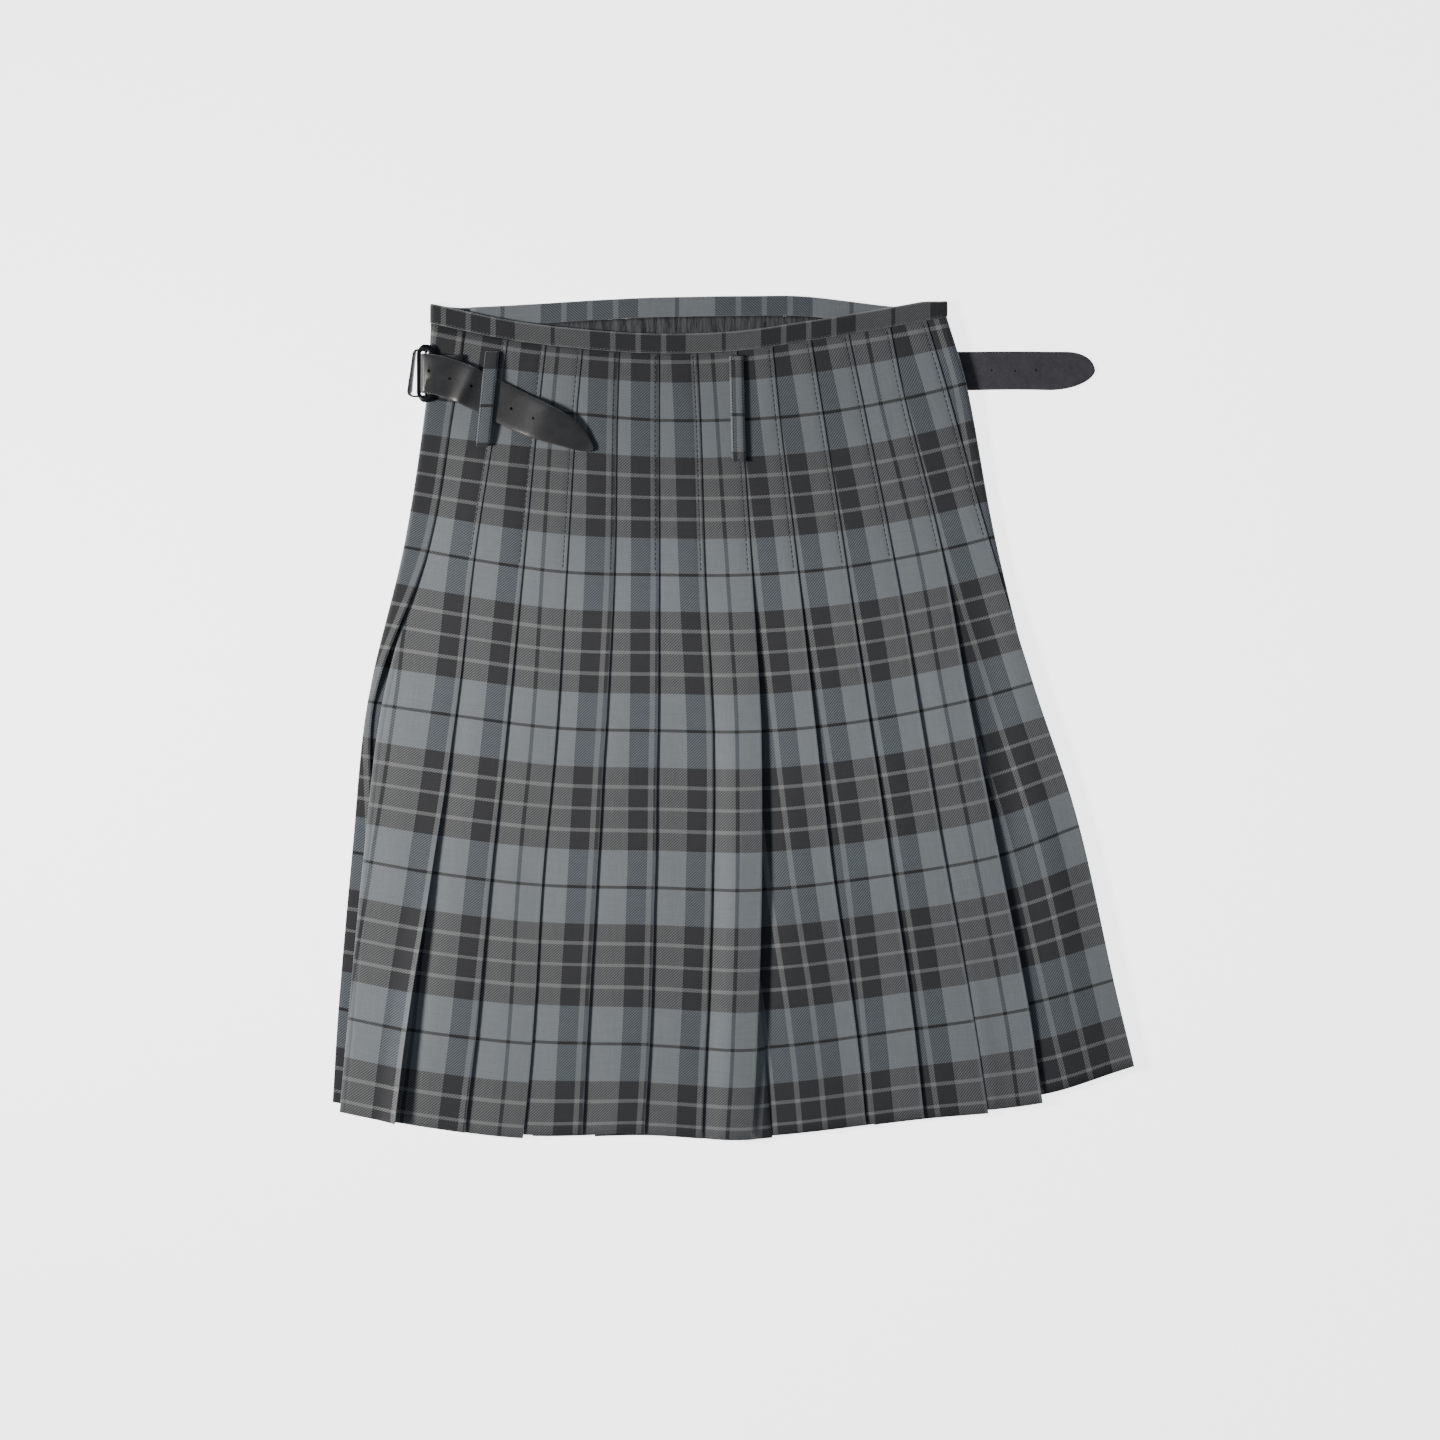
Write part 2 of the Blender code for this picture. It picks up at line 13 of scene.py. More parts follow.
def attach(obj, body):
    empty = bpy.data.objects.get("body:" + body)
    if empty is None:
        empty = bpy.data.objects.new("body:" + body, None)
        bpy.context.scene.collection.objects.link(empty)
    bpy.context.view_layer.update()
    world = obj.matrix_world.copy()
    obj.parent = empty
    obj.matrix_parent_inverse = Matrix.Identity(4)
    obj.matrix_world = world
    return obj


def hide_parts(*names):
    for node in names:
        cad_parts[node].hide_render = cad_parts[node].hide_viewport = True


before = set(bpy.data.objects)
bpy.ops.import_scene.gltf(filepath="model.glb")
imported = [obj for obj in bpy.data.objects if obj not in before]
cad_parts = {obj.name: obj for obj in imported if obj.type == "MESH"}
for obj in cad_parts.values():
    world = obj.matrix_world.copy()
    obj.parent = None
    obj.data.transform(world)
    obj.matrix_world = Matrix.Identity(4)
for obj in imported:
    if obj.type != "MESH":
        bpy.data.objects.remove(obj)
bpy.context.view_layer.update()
mm = 0.001
upwards = Vector((0, 0, 1))
stripesAcross, stripesDown = 166.5, 156.5    # one repeat of the tartan, in units of its stripes
print("frame loaded:", len(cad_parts), "solids")

# Lengths of cloth below the waist seam: seam, hip, fell, thigh, knee, calf, hem
levels = (0.0, 49.0, 167.0, 287.0, 407.0, 526.0, 595.0)

# X of each fold or edge at those lengths
foldX = {
    "left": (-230.5, -234.0, -251.0, -279.0, -291.0, -301.5, -306.0),
    "strip": (-204.5, -212.5, -232.5, -274.0, -276.0, -287.5, -294.0),
    "first": (-219.0, -224.0, -238.0, -268.0, -282.5, -294.0, -300.5),
    "e2": (-172.0, -179.5, -197.5, -211.5, -229.5, -248.5, -257.0),
    "e3": (-143.0, -148.5, -160.0, -172.0, -185.0, -196.0, -204.5),
    "e4": (-115.0, -119.5, -127.0, -134.5, -145.5, -153.0, -160.5),
    "e5": (-87.0, -88.5, -90.5, -97.0, -104.0, -111.0, -115.0),
    "e6": (-56.5, -56.5, -56.5, -57.5, -59.5, -63.5, -67.5),
    "e7": (-27.5, -25.0, -21.5, -15.5, -16.0, -20.5, -23.5),
    "e8": (3.0, 6.5, 14.5, 21.5, 22.0, 18.5, 14.5),
    "e9": (30.0, 35.5, 49.5, 63.0, 77.5, 95.0, 101.5),
    "e10": (59.5, 68.5, 86.5, 104.0, 122.0, 138.5, 146.0),
    "e11": (88.0, 99.5, 122.5, 142.5, 162.5, 184.0, 195.0),
    "e12": (120.0, 131.0, 159.0, 180.0, 203.5, 226.0, 236.5),
    "e13": (147.5, 163.0, 194.5, 228.5, 264.0, 290.0, 306.0),
    "right": (163.0, 178.0, 199.5, 227.0, 258.0, 284.0, 300.0),
}

# Y of those lines of cloth where they cross some of the folds
lineY = {
    "left": (300.5, 244.5, 132.0, 12.0, -107.5, -227.5, -300.5),
    "e2": (288.0, 237.5, 122.0, 2.5, -118.0, -237.5, -309.5),
    "e4": (281.0, 232.0, 112.5, -7.0, -127.5, -248.0, -321.0),
    "e6": (277.5, 227.0, 110.5, -9.0, -129.5, -249.5, -319.0),
    "e8": (279.5, 227.5, 110.5, -9.5, -131.0, -252.5, -322.0),
    "e10": (287.5, 232.5, 116.5, -1.0, -119.5, -237.0, -306.5),
    "e12": (297.5, 243.5, 129.5, 14.0, -105.0, -223.0, -296.5),
    "right": (305.5, 255.0, 139.5, 27.0, -84.5, -206.5, -276.5),
}

# Each pleat below the fell: how far its fold lifts and how far the next face drops beside it (at
# the thigh, knee, calf and hem), and the stripe of the tartan that lies on its fold. Some faces
# hang higher at the hem (up), some have stripes that drift from the fold towards the hem, some
# have a painted shine along the fold's edge, and one fold rolls over with its foot swung out.
pleats = {
    "e2": {"lift": (0.0, 2.2, 7.2, 10.0), "drop": (0.0, 0.8, 2.4, 2.6), "sett": 24.5},
    "e3": {"lift": (0.2, 0.3, 0.4, 0.6), "drop": (0.1, 0.2, 0.3, 0.3), "sett": 24.0, "drift": 2.6},
    "e4": {"lift": (0.0, 0.0, 0.1, 0.2), "drop": (0.0, 0.0, 0.0, 0.0), "sett": 154.0, "up": 2.5},
    "e5": {"lift": (0.0, 0.1, 0.2, 0.2), "drop": (0.0, 0.0, 0.1, 0.2), "sett": 29.5, "up": 1.5},
    "e6": {"lift": (0.0, 0.1, 0.1, 0.2), "drop": (0.0, 0.0, 0.1, 0.1), "sett": 28.0},
    "e7": {"lift": (0.2, 0.3, 0.3, 0.4), "drop": (0.0, 0.2, 0.2, 0.3), "sett": 26.0},
    "e8": {"lift": (2.4, 4.4, 4.6, 3.6), "drop": (1.6, 2.4, 2.4, 2.2), "sett": 154.5, "up": 1.5,
           "roll": 0.3, "foot": 18.0},
    "e9": {"lift": (0.8, 0.2, 0.0, 0.0), "drop": (0.3, 0.0, -0.2, -0.2), "sett": 112.0, "up": 1.0,
           "shine": 0.4},
    "e10": {"lift": (0.1, 0.2, 0.2, 0.2), "drop": (0.0, 0.0, 0.1, 0.1), "sett": 116.0,
            "drift": 5.4, "shine": 0.6},
    "e11": {"lift": (0.5, 0.2, 0.0, 0.0), "drop": (0.2, -0.5, -1.3, -1.3), "sett": 115.5,
            "up": 2.5, "drift": 4.6, "shine": 0.7},
    "e12": {"lift": (1.0, 1.1, 1.0, 0.8), "drop": (0.6, 0.8, 0.8, 0.6), "sett": 154.0,
            "up": 8.5, "shine": 1.0},
    "e13": {"lift": (0.5, 0.5, 0.5, 0.5), "drop": (0.0, 0.0, 0.0, 0.0), "sett": 114.0, "up": 8.5},
}
folds = list(pleats)

# How the pleats are stacked, by length below the seam
stack = {
    "length": (0.0, 49.0, 108.0, 167.0, 287.0, 407.0, 595.0),
    "innerZ": (4.8, 4.8, 3.3, 3.3, 3.3, 3.3, 3.3),
    "rise": (4.2, 4.6, 5.3, 5.6, 5.5, 5.4, 5.4),
    "depth": (16.0, 22.0, 30.0, 36.0, 36.0, 38.0, 38.0),
    "step": (1.25, 1.25, 1.3, 1.5, 2.2, 2.3, 2.4),
    "frontShare": (0.0, 0.3, 0.6, 0.8, 1.0, 1.0, 1.0),
    "frontUp": (2.0, 0.0, 0.0, 0.0, 1.5, 5.0, 6.5),
}

# The over apron's edge that comes round the left side, above the pleats and then under them
turnedStrip = {
    "length": (0.0, 49.0, 108.0, 167.0, 222.0, 255.0, 287.0, 595.0),
    "leftZ": (7.0, 7.0, 6.3, 6.3, 6.2, 5.2, 2.4, 2.0),
    "endZ": (7.6, 7.5, 5.9, 5.6, 7.0, 6.4, 2.6, 2.0),
}

cloth = {
    "wall": 0.6,
    "layer": 0.7,              # from one layer's middle to the next one's
    "settWidth": 127.4,        # the tartan's repeat across
    "settLength": 119.4,       # and down the cloth
    "thinLineAt": 49.0,        # the thin dark line crosses at the hip
    "rowStep": 8.5,
    "liftStart": 167.0,        # the pleats are sewn flat above this length
    "liftWidth": 16.0,
    "rollWidth": 42.0,         # a rolled fold rises over this width and turns down to its edge
    "dropWidth": 7.0,
    "footStart": 470.0,        # a pleat's foot swings out of its fold below this length
    "pillow": 0.4,             # crown of each face between its folds
    "stitchInset": 3.0,        # the topstitching runs this far inside each fold
    "stitchDip": 0.22,
    "edgeWander": 0.45,        # sideways wander of the fold edges
    "surfaceWander": 0.35,     # slow rise and fall of the whole lay
    "wanderFull": 287.0,       # the folds wander fully below this length
    "driftFrom": 347.0,        # stripes drift between these lengths
    "driftTo": 615.0,
    "shineFrom": 130.0,        # and the painted shine on edges grows between these
    "shineTo": 210.0,
    "hiddenRoom": 2.7,         # height kept free over a pleat's hidden depth
    "liftCurve": 1.6,          # above 1, a fold lifts mostly at its edge
    "dropFlat": (2.0, 2.5),    # a drop is full round this distance from the fold, for this width
    "dipWidth": 0.7,           # the seam's dimple along the topstitching
    "footGap": 3.2,            # a foot lies this many layers above the face beside it
    "swayFull": 3.0,           # a foot's slope is complete once it swings this far
    "edgeShineAndWear": (2.0, 1.2),    # the fold's outer bands, lightened by wear and painted shine
}


def smoothAt(positions, values, at):
    # a smooth curve through the values, straight past both ends
    last = len(positions) - 1
    if at <= positions[0] or at >= positions[last]:
        i, j, anchor = (0, 1, 0) if at <= positions[0] else (last - 1, last, last)
        slope = (values[j] - values[i]) / (positions[j] - positions[i])
        return values[anchor] + slope * (at - positions[anchor])
    i = max(k for k in range(last) if positions[k] <= at)
    step = positions[i + 1] - positions[i]
    t = (at - positions[i]) / step
    slopes = []
    for k in (i, i + 1):
        a, b = max(k - 1, 0), min(k + 1, last)
        slopes.append((values[b] - values[a]) / (positions[b] - positions[a]) * step)
    return ((2 * t ** 3 - 3 * t ** 2 + 1) * values[i] + (t ** 3 - 2 * t ** 2 + t) * slopes[0]
            + (3 * t ** 2 - 2 * t ** 3) * values[i + 1] + (t ** 3 - t ** 2) * slopes[1])


def straightAt(table, column, at):
    lengths, values = table["length"], table[column]
    if at <= lengths[0]:
        return values[0]
    for i in range(len(lengths) - 1):
        if at < lengths[i + 1]:
            t = (at - lengths[i]) / (lengths[i + 1] - lengths[i])
            return values[i] * (1 - t) + values[i + 1] * t
    return values[-1]


def ease(low, high, at):
    # from 0 at low to 1 at high, which may be the smaller of the two
    t = min(1.0, max(0.0, (at - low) / (high - low)))
    return t * t * (3 - 2 * t)


def mixTo(a, b, t):
    return a + (b - a) * t


@lru_cache(maxsize=None)
def foldAt(name, length):
    x = smoothAt(levels, foldX[name], length)
    if name in pleats:
        seed = folds.index(name) * 7.3
        free = ease(cloth["liftStart"], cloth["wanderFull"], length)
        x += cloth["edgeWander"] * (0.35 + 0.65 * free) * noise.noise((length / 62.0, seed, 1.7))
    return x


@lru_cache(maxsize=None)
def stationsAt(length):
    names = list(lineY)
    return ([smoothAt(levels, foldX[name], length) for name in names],
            [smoothAt(levels, lineY[name], length) for name in names])


def backY(length, x):
    across, down = stationsAt(length)
    return smoothAt(across, down, x)


droop = {"left": 3.5, "right": 8.5, "endsAt": 60.0}


def frontDroop(length, t):
    # near both sides the front's top edge hangs lower than the back's
    atLeft = droop["left"] * ease(0.0, 0.05, t) * (1 - ease(0.06, 0.46, t))
    atRight = droop["right"] * (1 - ease(0.95, 1.0, t)) * ease(0.68, 0.94, t)
    return (atLeft + atRight) * (1 - ease(0.0, droop["endsAt"], length))


def frontY(length, x):
    left, right = foldAt("left", length), foldAt("right", length)
    t = (x - left) / (right - left)
    straight = mixTo(backY(length, left), backY(length, right), t)
    share = straightAt(stack, "frontShare", length)
    bow = 4 * t * (1 - t) if length < levels[3] else 1.0
    up = straightAt(stack, "frontUp", length) * bow * (1 + t)
    return straight * (1 - share) + backY(length, x) * share + up - frontDroop(length, t)


def looseAt(name, kind, length):
    # a pleat's lift or drop, from nothing at the end of the fell
    marks = {"length": (cloth["liftStart"],) + levels[3:], "value": (0.0,) + pleats[name][kind]}
    return straightAt(marks, "value", length)


def upAt(name, length):
    hangs = pleats.get(name, {}).get("up", 0.0)
    return hangs * max(0.0, (length - levels[4]) / (levels[6] - levels[4]))


@lru_cache(maxsize=None)
def depthsAt(length):
    # hidden depth of each pleat, kept shallow enough to lie under the face above
    room = 1 - cloth["hiddenRoom"] / straightAt(stack, "rise", length)
    depths = {}
    face = foldAt("e2", length) - foldAt("first", length)
    for name, following in zip(folds, folds[1:] + ["e13"]):
        share = 0.5 if name == "e2" else room
        depths[name] = min(straightAt(stack, "depth", length), share * face)
        face = foldAt(following, length) - foldAt(name, length) + depths[name]
    return depths


def unwrapSetts():
    # the tartan's count at each fold, run on from pleat to pleat over the hidden cloth
    count = {"e2": pleats["e2"]["sett"] / stripesAcross * cloth["settWidth"]}
    depths = depthsAt(levels[3])
    for name, following in zip(folds, folds[1:]):
        wanted = (count[name] + 2 * depths[name] + foldAt(following, levels[3])
                  - foldAt(name, levels[3]))
        start = pleats[following]["sett"] / stripesAcross * cloth["settWidth"]
        count[following] = start + cloth["settWidth"] * round((wanted - start) / cloth["settWidth"])
    return count


settAt = unwrapSetts()


def countAt(name, length):
    drift = pleats[name].get("drift", 0.0)
    return settAt[name] + drift * ease(cloth["driftFrom"], cloth["driftTo"], length)


# Soft troughs and ridges in the lay: half width, height, then X and Y of the path
creases = [
    (11, -3.1, (186, 90), (204, -20), (219, -120), (240, -230)),
    (11, 1.1, (212, 60), (236, -60), (256, -190)),
    (8, -0.8, (30, 80), (36, 0), (38, -100), (34, -190)),
    (9, -0.7, (-205, 40), (-222, -90), (-243, -250)),
    (7, 0.9, (-205, 290), (-214, 268), (-212, 250)),
    (8, -0.8, (-160, 270), (-166, 250), (-170, 232)),
    (9, -0.5, (-145, 240), (-120, 225), (-100, 200)),
    (12, 0.5, (-70, 262), (-40, 240), (-20, 214)),
    (6, -0.7, (15, 262), (16, 230), (17, 196)),
    (14, 0.5, (60, 250), (90, 215), (110, 180)),
    (10, -0.5, (110, 270), (125, 240), (130, 200)),
    (12, 0.6, (-90, 60), (-95, -40), (-100, -150)),
    (10, -0.5, (-40, 20), (-38, -80), (-42, -200)),
    (10, 0.7, (0, 0), (2, -120), (-4, -260)),
    (12, 0.5, (110, 30), (128, -80), (138, -200)),
    (9, 0.6, (150, 60), (176, -60), (196, -200)),
    (10, 0.5, (-240, 60), (-252, -40), (-268, -180)),
    (8, 0.5, (-185, -60), (-196, -160), (-210, -270)),
    (8, -0.4, (-140, 0), (-152, -110), (-158, -220)),
    (8, -0.4, (60, -60), (78, -160), (84, -270)),
]
creaseReach = 2.6    # half widths from the path at which a crease ends


def creaseHeight(x, y):
    total = 0.0
    for width, height, *points in creases:
        reach = width * creaseReach
        best = None
        for k, (a, b) in enumerate(zip(points, points[1:])):
            if not min(a[1], b[1]) - reach < y < max(a[1], b[1]) + reach:
                continue
            dx, dy = b[0] - a[0], b[1] - a[1]
            t = min(1.0, max(0.0, ((x - a[0]) * dx + (y - a[1]) * dy) / (dx * dx + dy * dy)))
            distance = math.hypot(x - a[0] - t * dx, y - a[1] - t * dy)
            if best is None or distance < best[0]:
                best = (distance, (k + t) / (len(points) - 1))
        if best and best[0] < reach:
            along = math.sin(math.pi * min(0.92, max(0.08, best[1]))) ** 0.5
            total += height * along * math.exp(-(best[0] / width) ** 2)
    return total


def layHeight(x, y, z):
    # the whole stack rises and falls together, and the layers on the table stay flat
    free = ease(2.6, 7.5, z)
    if free == 0.0:
        return z
    wander = cloth["surfaceWander"] * noise.noise((x / 70.0, y / 120.0, 3.1))
    return z + free * (creaseHeight(x, y) + wander)


faceSteps = (0.0, 0.03, 0.065, 0.11, 0.17, 0.24, 0.33, 0.43, 0.53, 0.64, 0.74)
edgeInsets = (4.4, 3.5, 3.0, 2.5, 1.6, 0.7)
foldAngles = ((90, 0.8), (60, 1.0), (25, 1.0), (-15, 0.5), (-50, 0.0), (-90, 0.0))   # and wear with painted shine
# along the return: share of its way back, share of the foot's swing, and height of its slope
returnSteps = ((0.02, 0.3, 0.4), (0.03, 0.65, 0.12), (0.05, 0.95, 0.02), (0.06, 1.0, -0.1),
               (0.07, 0.95, -0.22), (0.12, 0.5, -0.22), (0.2, 0.2, -0.22), (0.4, 0.0, 0.0),
               (0.55, 0.0, 0.0), (0.75, 0.0, 0.0), (0.92, 0.0, 0.0))
hiddenSteps = (0.25, 0.5, 0.7, 0.85, 0.95)
startInsets = (5.0, 2.5)
firstTurn = ((270, 0.0), (225, 0.3), (180, 1.0), (135, 1.0), (90, 0.6))
innerTurn = ((90, 0.0), (135, 0.0), (180, 0.0), (225, 0.0), (270, 0.0))


def pleatColumns(name, length, startX, startZ, previousX, ceiling):
    # one face and its outer fold: (x, up, z, cloth count, wear and painted shine)
    innerZ = straightAt(stack, "innerZ", length)
    topZ = innerZ + straightAt(stack, "rise", length)
    x = foldAt(name, length)
    depth = depthsAt(length)[name]
    lift = looseAt(name, "lift", length)
    roll = pleats[name].get("roll", 0.0)
    liftWidth = cloth["rollWidth"] if roll else min(cloth["liftWidth"], 0.75 * depth)
    isFirst = name == folds[0]
    footShare = max(0.0, length - cloth["footStart"]) / (levels[6] - cloth["footStart"])
    previous = "first" if isFirst else folds[folds.index(name) - 1]
    above, below = upAt(previous, length), upAt(name, length)
    layer = cloth["layer"]
    turn = layer / 2
    drop = 0.0 if isFirst else looseAt(previous, "drop", length)
    foot = pleats[name].get("foot", 0.0) * footShare
    dropWidth = cloth["dropWidth"] + pleats.get(previous, {}).get("foot", 0.0) * footShare
    sewn = 1 - ease(cloth["liftStart"] - 8, cloth["liftStart"] + 8, length)
    enterZ = topZ - straightAt(stack, "step", length)
    if isFirst:
        enterZ = mixTo(startZ, topZ, (previousX - startX) / (x - startX))
    dropAt, dropFlat = cloth["dropFlat"]
    points = []

    def liftOf(at):
        rising = min(1.0, max(0.0, (at - (x - liftWidth)) / liftWidth))
        if roll:
            return lift * (ease(0.0, 0.55, rising) - roll * max(0.0, rising - 0.5) * 2)
        return lift * rising ** cloth["liftCurve"]

    def faceZ(at):
        if at < previousX:
            z = mixTo(startZ, enterZ, (at - startX) / (previousX - startX))
        else:
            z = mixTo(enterZ, topZ, (at - previousX) / (x - previousX))
        t = min(1.0, max(0.0, (at - previousX) / (x - previousX)))
        z += cloth["pillow"] * math.sin(math.pi * t) ** 0.8
        away = max(0.0, abs(at - previousX - dropAt) - dropFlat)
        fall = drop * math.exp(-(away / dropWidth) ** 2)
        if fall > 0:
            fall = min(fall, max(0.0, z - innerZ - 2 * layer))
        z += liftOf(at) - fall
        fromSeam = (at - x + cloth["stitchInset"]) / cloth["dipWidth"]
        z -= sewn * cloth["stitchDip"] * math.exp(-fromSeam ** 2)
        return z

    count = countAt(name, length)
    for share in hiddenSteps:
        at = mixTo(startX + 2.0, previousX, share)
        z = faceZ(at)
        if ceiling:
            z = min(z, ceiling(at) - layer)
        points.append((at, above, z, count - (x - at), 0.0))
    flatEnd = x - turn
    columns = [mixTo(previousX, flatEnd, t) for t in faceSteps]
    columns += [x - inset for inset in edgeInsets]
    # painted shine along the fold's edge, over a rim of wear
    shine = pleats[name].get("shine", 0.0) * mixTo(0.2, 1.0, ease(cloth["shineFrom"],
                                                                 cloth["shineTo"], length))
    bandEnd, rimEnd = cloth["edgeShineAndWear"]
    for at in columns:
        edgeWearAndShine = 0.35 + 0.65 * shine if at > x - rimEnd else shine if at > x - bandEnd else 0.0
        points.append((at, above, faceZ(at), count - (x - at), edgeWearAndShine))
    edgeZ = topZ + liftOf(x)
    for angle, edgeWearAndShine in foldAngles:
        radians = math.radians(angle)
        points.append((flatEnd + turn * math.cos(radians), above,
                       edgeZ - turn + turn * math.sin(radians),
                       count - turn * math.cos(math.radians(max(angle, 0))), edgeWearAndShine))
    # under the fold and back to the inner fold
    innerX = x - depth
    if name == folds[-1]:
        nextStart = count + 2 * depth
    else:
        following = folds[folds.index(name) + 1]
        nextStart = countAt(following, length) - (foldAt(following, length) - innerX)

    def underZ(at):
        z = mixTo(innerZ + layer, topZ - layer, (at - innerX) / (x - innerX)) + liftOf(at)
        if at > startX + 3:
            z = min(z, faceZ(at) - layer)
        return max(z, innerZ + layer)

    footZ = (topZ - straightAt(stack, "step", length) - looseAt(name, "drop", length)
             + cloth["footGap"] * layer)
    way = []
    for t, swing, height in returnSteps:
        at = mixTo(flatEnd, innerX + turn, t)
        z = underZ(at)
        if foot > 0.0 and swing > 0.0:
            slopeZ = footZ + height * (edgeZ - layer - footZ)
            z = mixTo(z, slopeZ, min(1.0, swing * foot / cloth["swayFull"]))
        way.append((at + swing * foot, z, t))
    runs = [0.0]
    for a, b in zip([(flatEnd, edgeZ, 0)] + way, way):
        runs.append(runs[-1] + math.hypot(b[0] - a[0], b[1] - a[1]))
    total = runs[-1] + 0.08 * depth
    atTurn = 4 if foot > 0.0 else 0
    for k, ((at, z, t), run) in enumerate(zip(way, runs[1:])):
        if k < atTurn:
            cut = count + run
        else:
            cut = mixTo(count + runs[atTurn], nextStart,
                        (run - runs[atTurn]) / (total - runs[atTurn]))
        points.append((at, mixTo(above, below, t), z, cut, 0.0))
    return points, innerX, innerZ, nextStart, underZ


def turnPoints(x, z, up, count, turns):
    # a half turn round a fold at x, from z up: turns are (angle, wear and painted shine)
    turn = cloth["layer"] / 2
    return [(x + turn + turn * math.cos(math.radians(angle)), up,
             z + turn + turn * math.sin(math.radians(angle)), count, edgeWearAndShine) for angle, edgeWearAndShine in turns]


def backRow(length):
    turn = cloth["layer"] / 2
    innerZ = straightAt(stack, "innerZ", length)
    first = foldAt("first", length)
    count = countAt("e2", length) - (foldAt("e2", length) - first)
    points = [(first + inset, 0.0, innerZ, count - inset, 0.0) for inset in startInsets]
    points += turnPoints(first, innerZ, 0.0, count, firstTurn)
    startX, startZ, previousX = first + turn, innerZ + cloth["layer"], first + 4.0
    ceiling = None
    for name in folds:
        columns, innerX, innerZ, nextStart, ceiling = pleatColumns(name, length, startX, startZ,
                                                                   previousX, ceiling)
        points += columns
        if name != folds[-1]:
            points += turnPoints(innerX, innerZ, upAt(name, length), nextStart, innerTurn)
            startX, startZ, previousX = innerX, innerZ, foldAt(name, length)
    row = []
    for x, up, z, settCount, edgeWearAndShine in points:
        y = backY(length, x) + up
        row.append((x, y, layHeight(x, y, z), settCount, edgeWearAndShine))
    return row


def halfTurn(x, lowZ, highZ, side):
    # the cloth's turn round one side of the kilt, from below: X and Z
    radius = (highZ - lowZ) / 2
    points = []
    for i in range(9):
        angle = -math.pi / 2 + math.pi * i / 8
        points.append((x - side * radius + side * radius * math.cos(angle),
                       (lowZ + highZ) / 2 + radius * math.sin(angle)))
    return points


apron = {
    "overZ": 0.5,
    "underZ": 2.0,
    "tuck": 7.0,           # the free edge stops this far inside the right side
    "stripSett": 51.5,     # the stripe on the turned strip's edge
    "lastFaceSett": 60.0,  # and on the last face, at the right side
    "underStart": 30.0,
    "underLift": 1.4,
    "underSettle": 16.0,
    "panelSteps": 40,
}
stripSteps = (0.15, 0.35, 0.55, 0.75, 0.9, 1.0)
leadSteps = (0.0, 0.25, 0.5, 0.75, 0.92)
settleSteps = (0.25, 0.5, 0.75)


def alongRow(spots, anchorIndex, anchorSett):
    # adds the tartan's count, measured along the row from one anchor point
    run = [0.0]
    for a, b in zip(spots, spots[1:]):
        run.append(run[-1] + math.hypot(b[0] - a[0], b[2] - a[2]))
    anchorCount = anchorSett / stripesAcross * cloth["settWidth"]
    return [(x, y, z, anchorCount + (distance - run[anchorIndex]), 0.0)
            for (x, y, z), distance in zip(spots, run)]


def overApronRow(length):
    overZ, steps = apron["overZ"], apron["panelSteps"]
    free = foldAt("right", length) - apron["tuck"]
    leftZ = straightAt(turnedStrip, "leftZ", length)
    endZ = straightAt(turnedStrip, "endZ", length)
    turn = halfTurn(foldAt("left", length), overZ, leftZ, -1)
    start, end = turn[-1][0], foldAt("strip", length)
    flat = [(mixTo(free, turn[0][0], i / steps), overZ) for i in range(steps)] + turn
    flat += [(mixTo(start, end, t), mixTo(leftZ, endZ, t)) for t in stripSteps]
    # near the waist the turned strip follows the back's lines of cloth
    share = min(1.0, max(0.0, (levels[3] - length) / 50.0))
    spots = []
    for x, z in flat:
        front = frontY(length, x)
        spots.append((x, front if z <= overZ + 0.001 else mixTo(front, backY(length, x), share), z))
    row = alongRow(spots, len(flat) - 1, apron["stripSett"])
    raised = []
    for i, (x, y, z, count, edgeWearAndShine) in enumerate(row):
        if i > steps + 5:
            z = mixTo(z, layHeight(x, y, z), ease(3.0, 7.0, z))
        # the strip's last point gets full wear and painted shine
        raised.append((x, y, z, count, 1.0 if i == len(row) - 1 else 0.0))
    return raised


def rightHeight(length):
    innerZ = straightAt(stack, "innerZ", length)
    rise = straightAt(stack, "rise", length)
    depth = depthsAt(length)["e13"]
    slope = (rise - 2 * cloth["layer"] - 0.2) / depth
    return innerZ + slope * (foldAt("right", length) - foldAt("e13", length) + depth)


def underApronRow(length):
    underZ, rise, steps = apron["underZ"], apron["underLift"], apron["panelSteps"]
    innerZ = straightAt(stack, "innerZ", length)
    start = foldAt("e13", length) - depthsAt(length)["e13"]
    turn = list(reversed(halfTurn(foldAt("right", length), underZ + rise, rightHeight(length), 1)))
    lead = [(mixTo(start + cloth["layer"] / 2, turn[0][0], t), mixTo(innerZ, turn[0][1], t))
            for t in leadSteps]
    turnEnd = turn[-1][0]
    panelStart = turnEnd - apron["underSettle"]
    panelEnd = foldAt("left", length) + apron["underStart"]
    onBack = len(lead) + len(turn)
    flat = lead + turn
    flat += [(mixTo(turnEnd, panelStart, t), underZ + rise * (1 - ease(0, 1, t)))
             for t in settleSteps]
    flat += [(mixTo(panelStart, panelEnd, i / steps), underZ) for i in range(steps + 1)]
    up = upAt("e13", length)
    spots = [(x, backY(length, x) + up if i < onBack else frontY(length, x), z)
             for i, (x, z) in enumerate(flat)]
    return alongRow(spots, len(lead) + 4, apron["lastFaceSett"])    # from the side itself


def rowLengths():
    steps = round(levels[6] / cloth["rowStep"])
    return [levels[6] * i / steps for i in range(steps + 1)]


# how far the painted shade round the hips reaches
paintedShadeSpread = {"endsAt": 190.0, "fullAt": 40.0, "rightShare": 0.4, "rightX": 150.0}


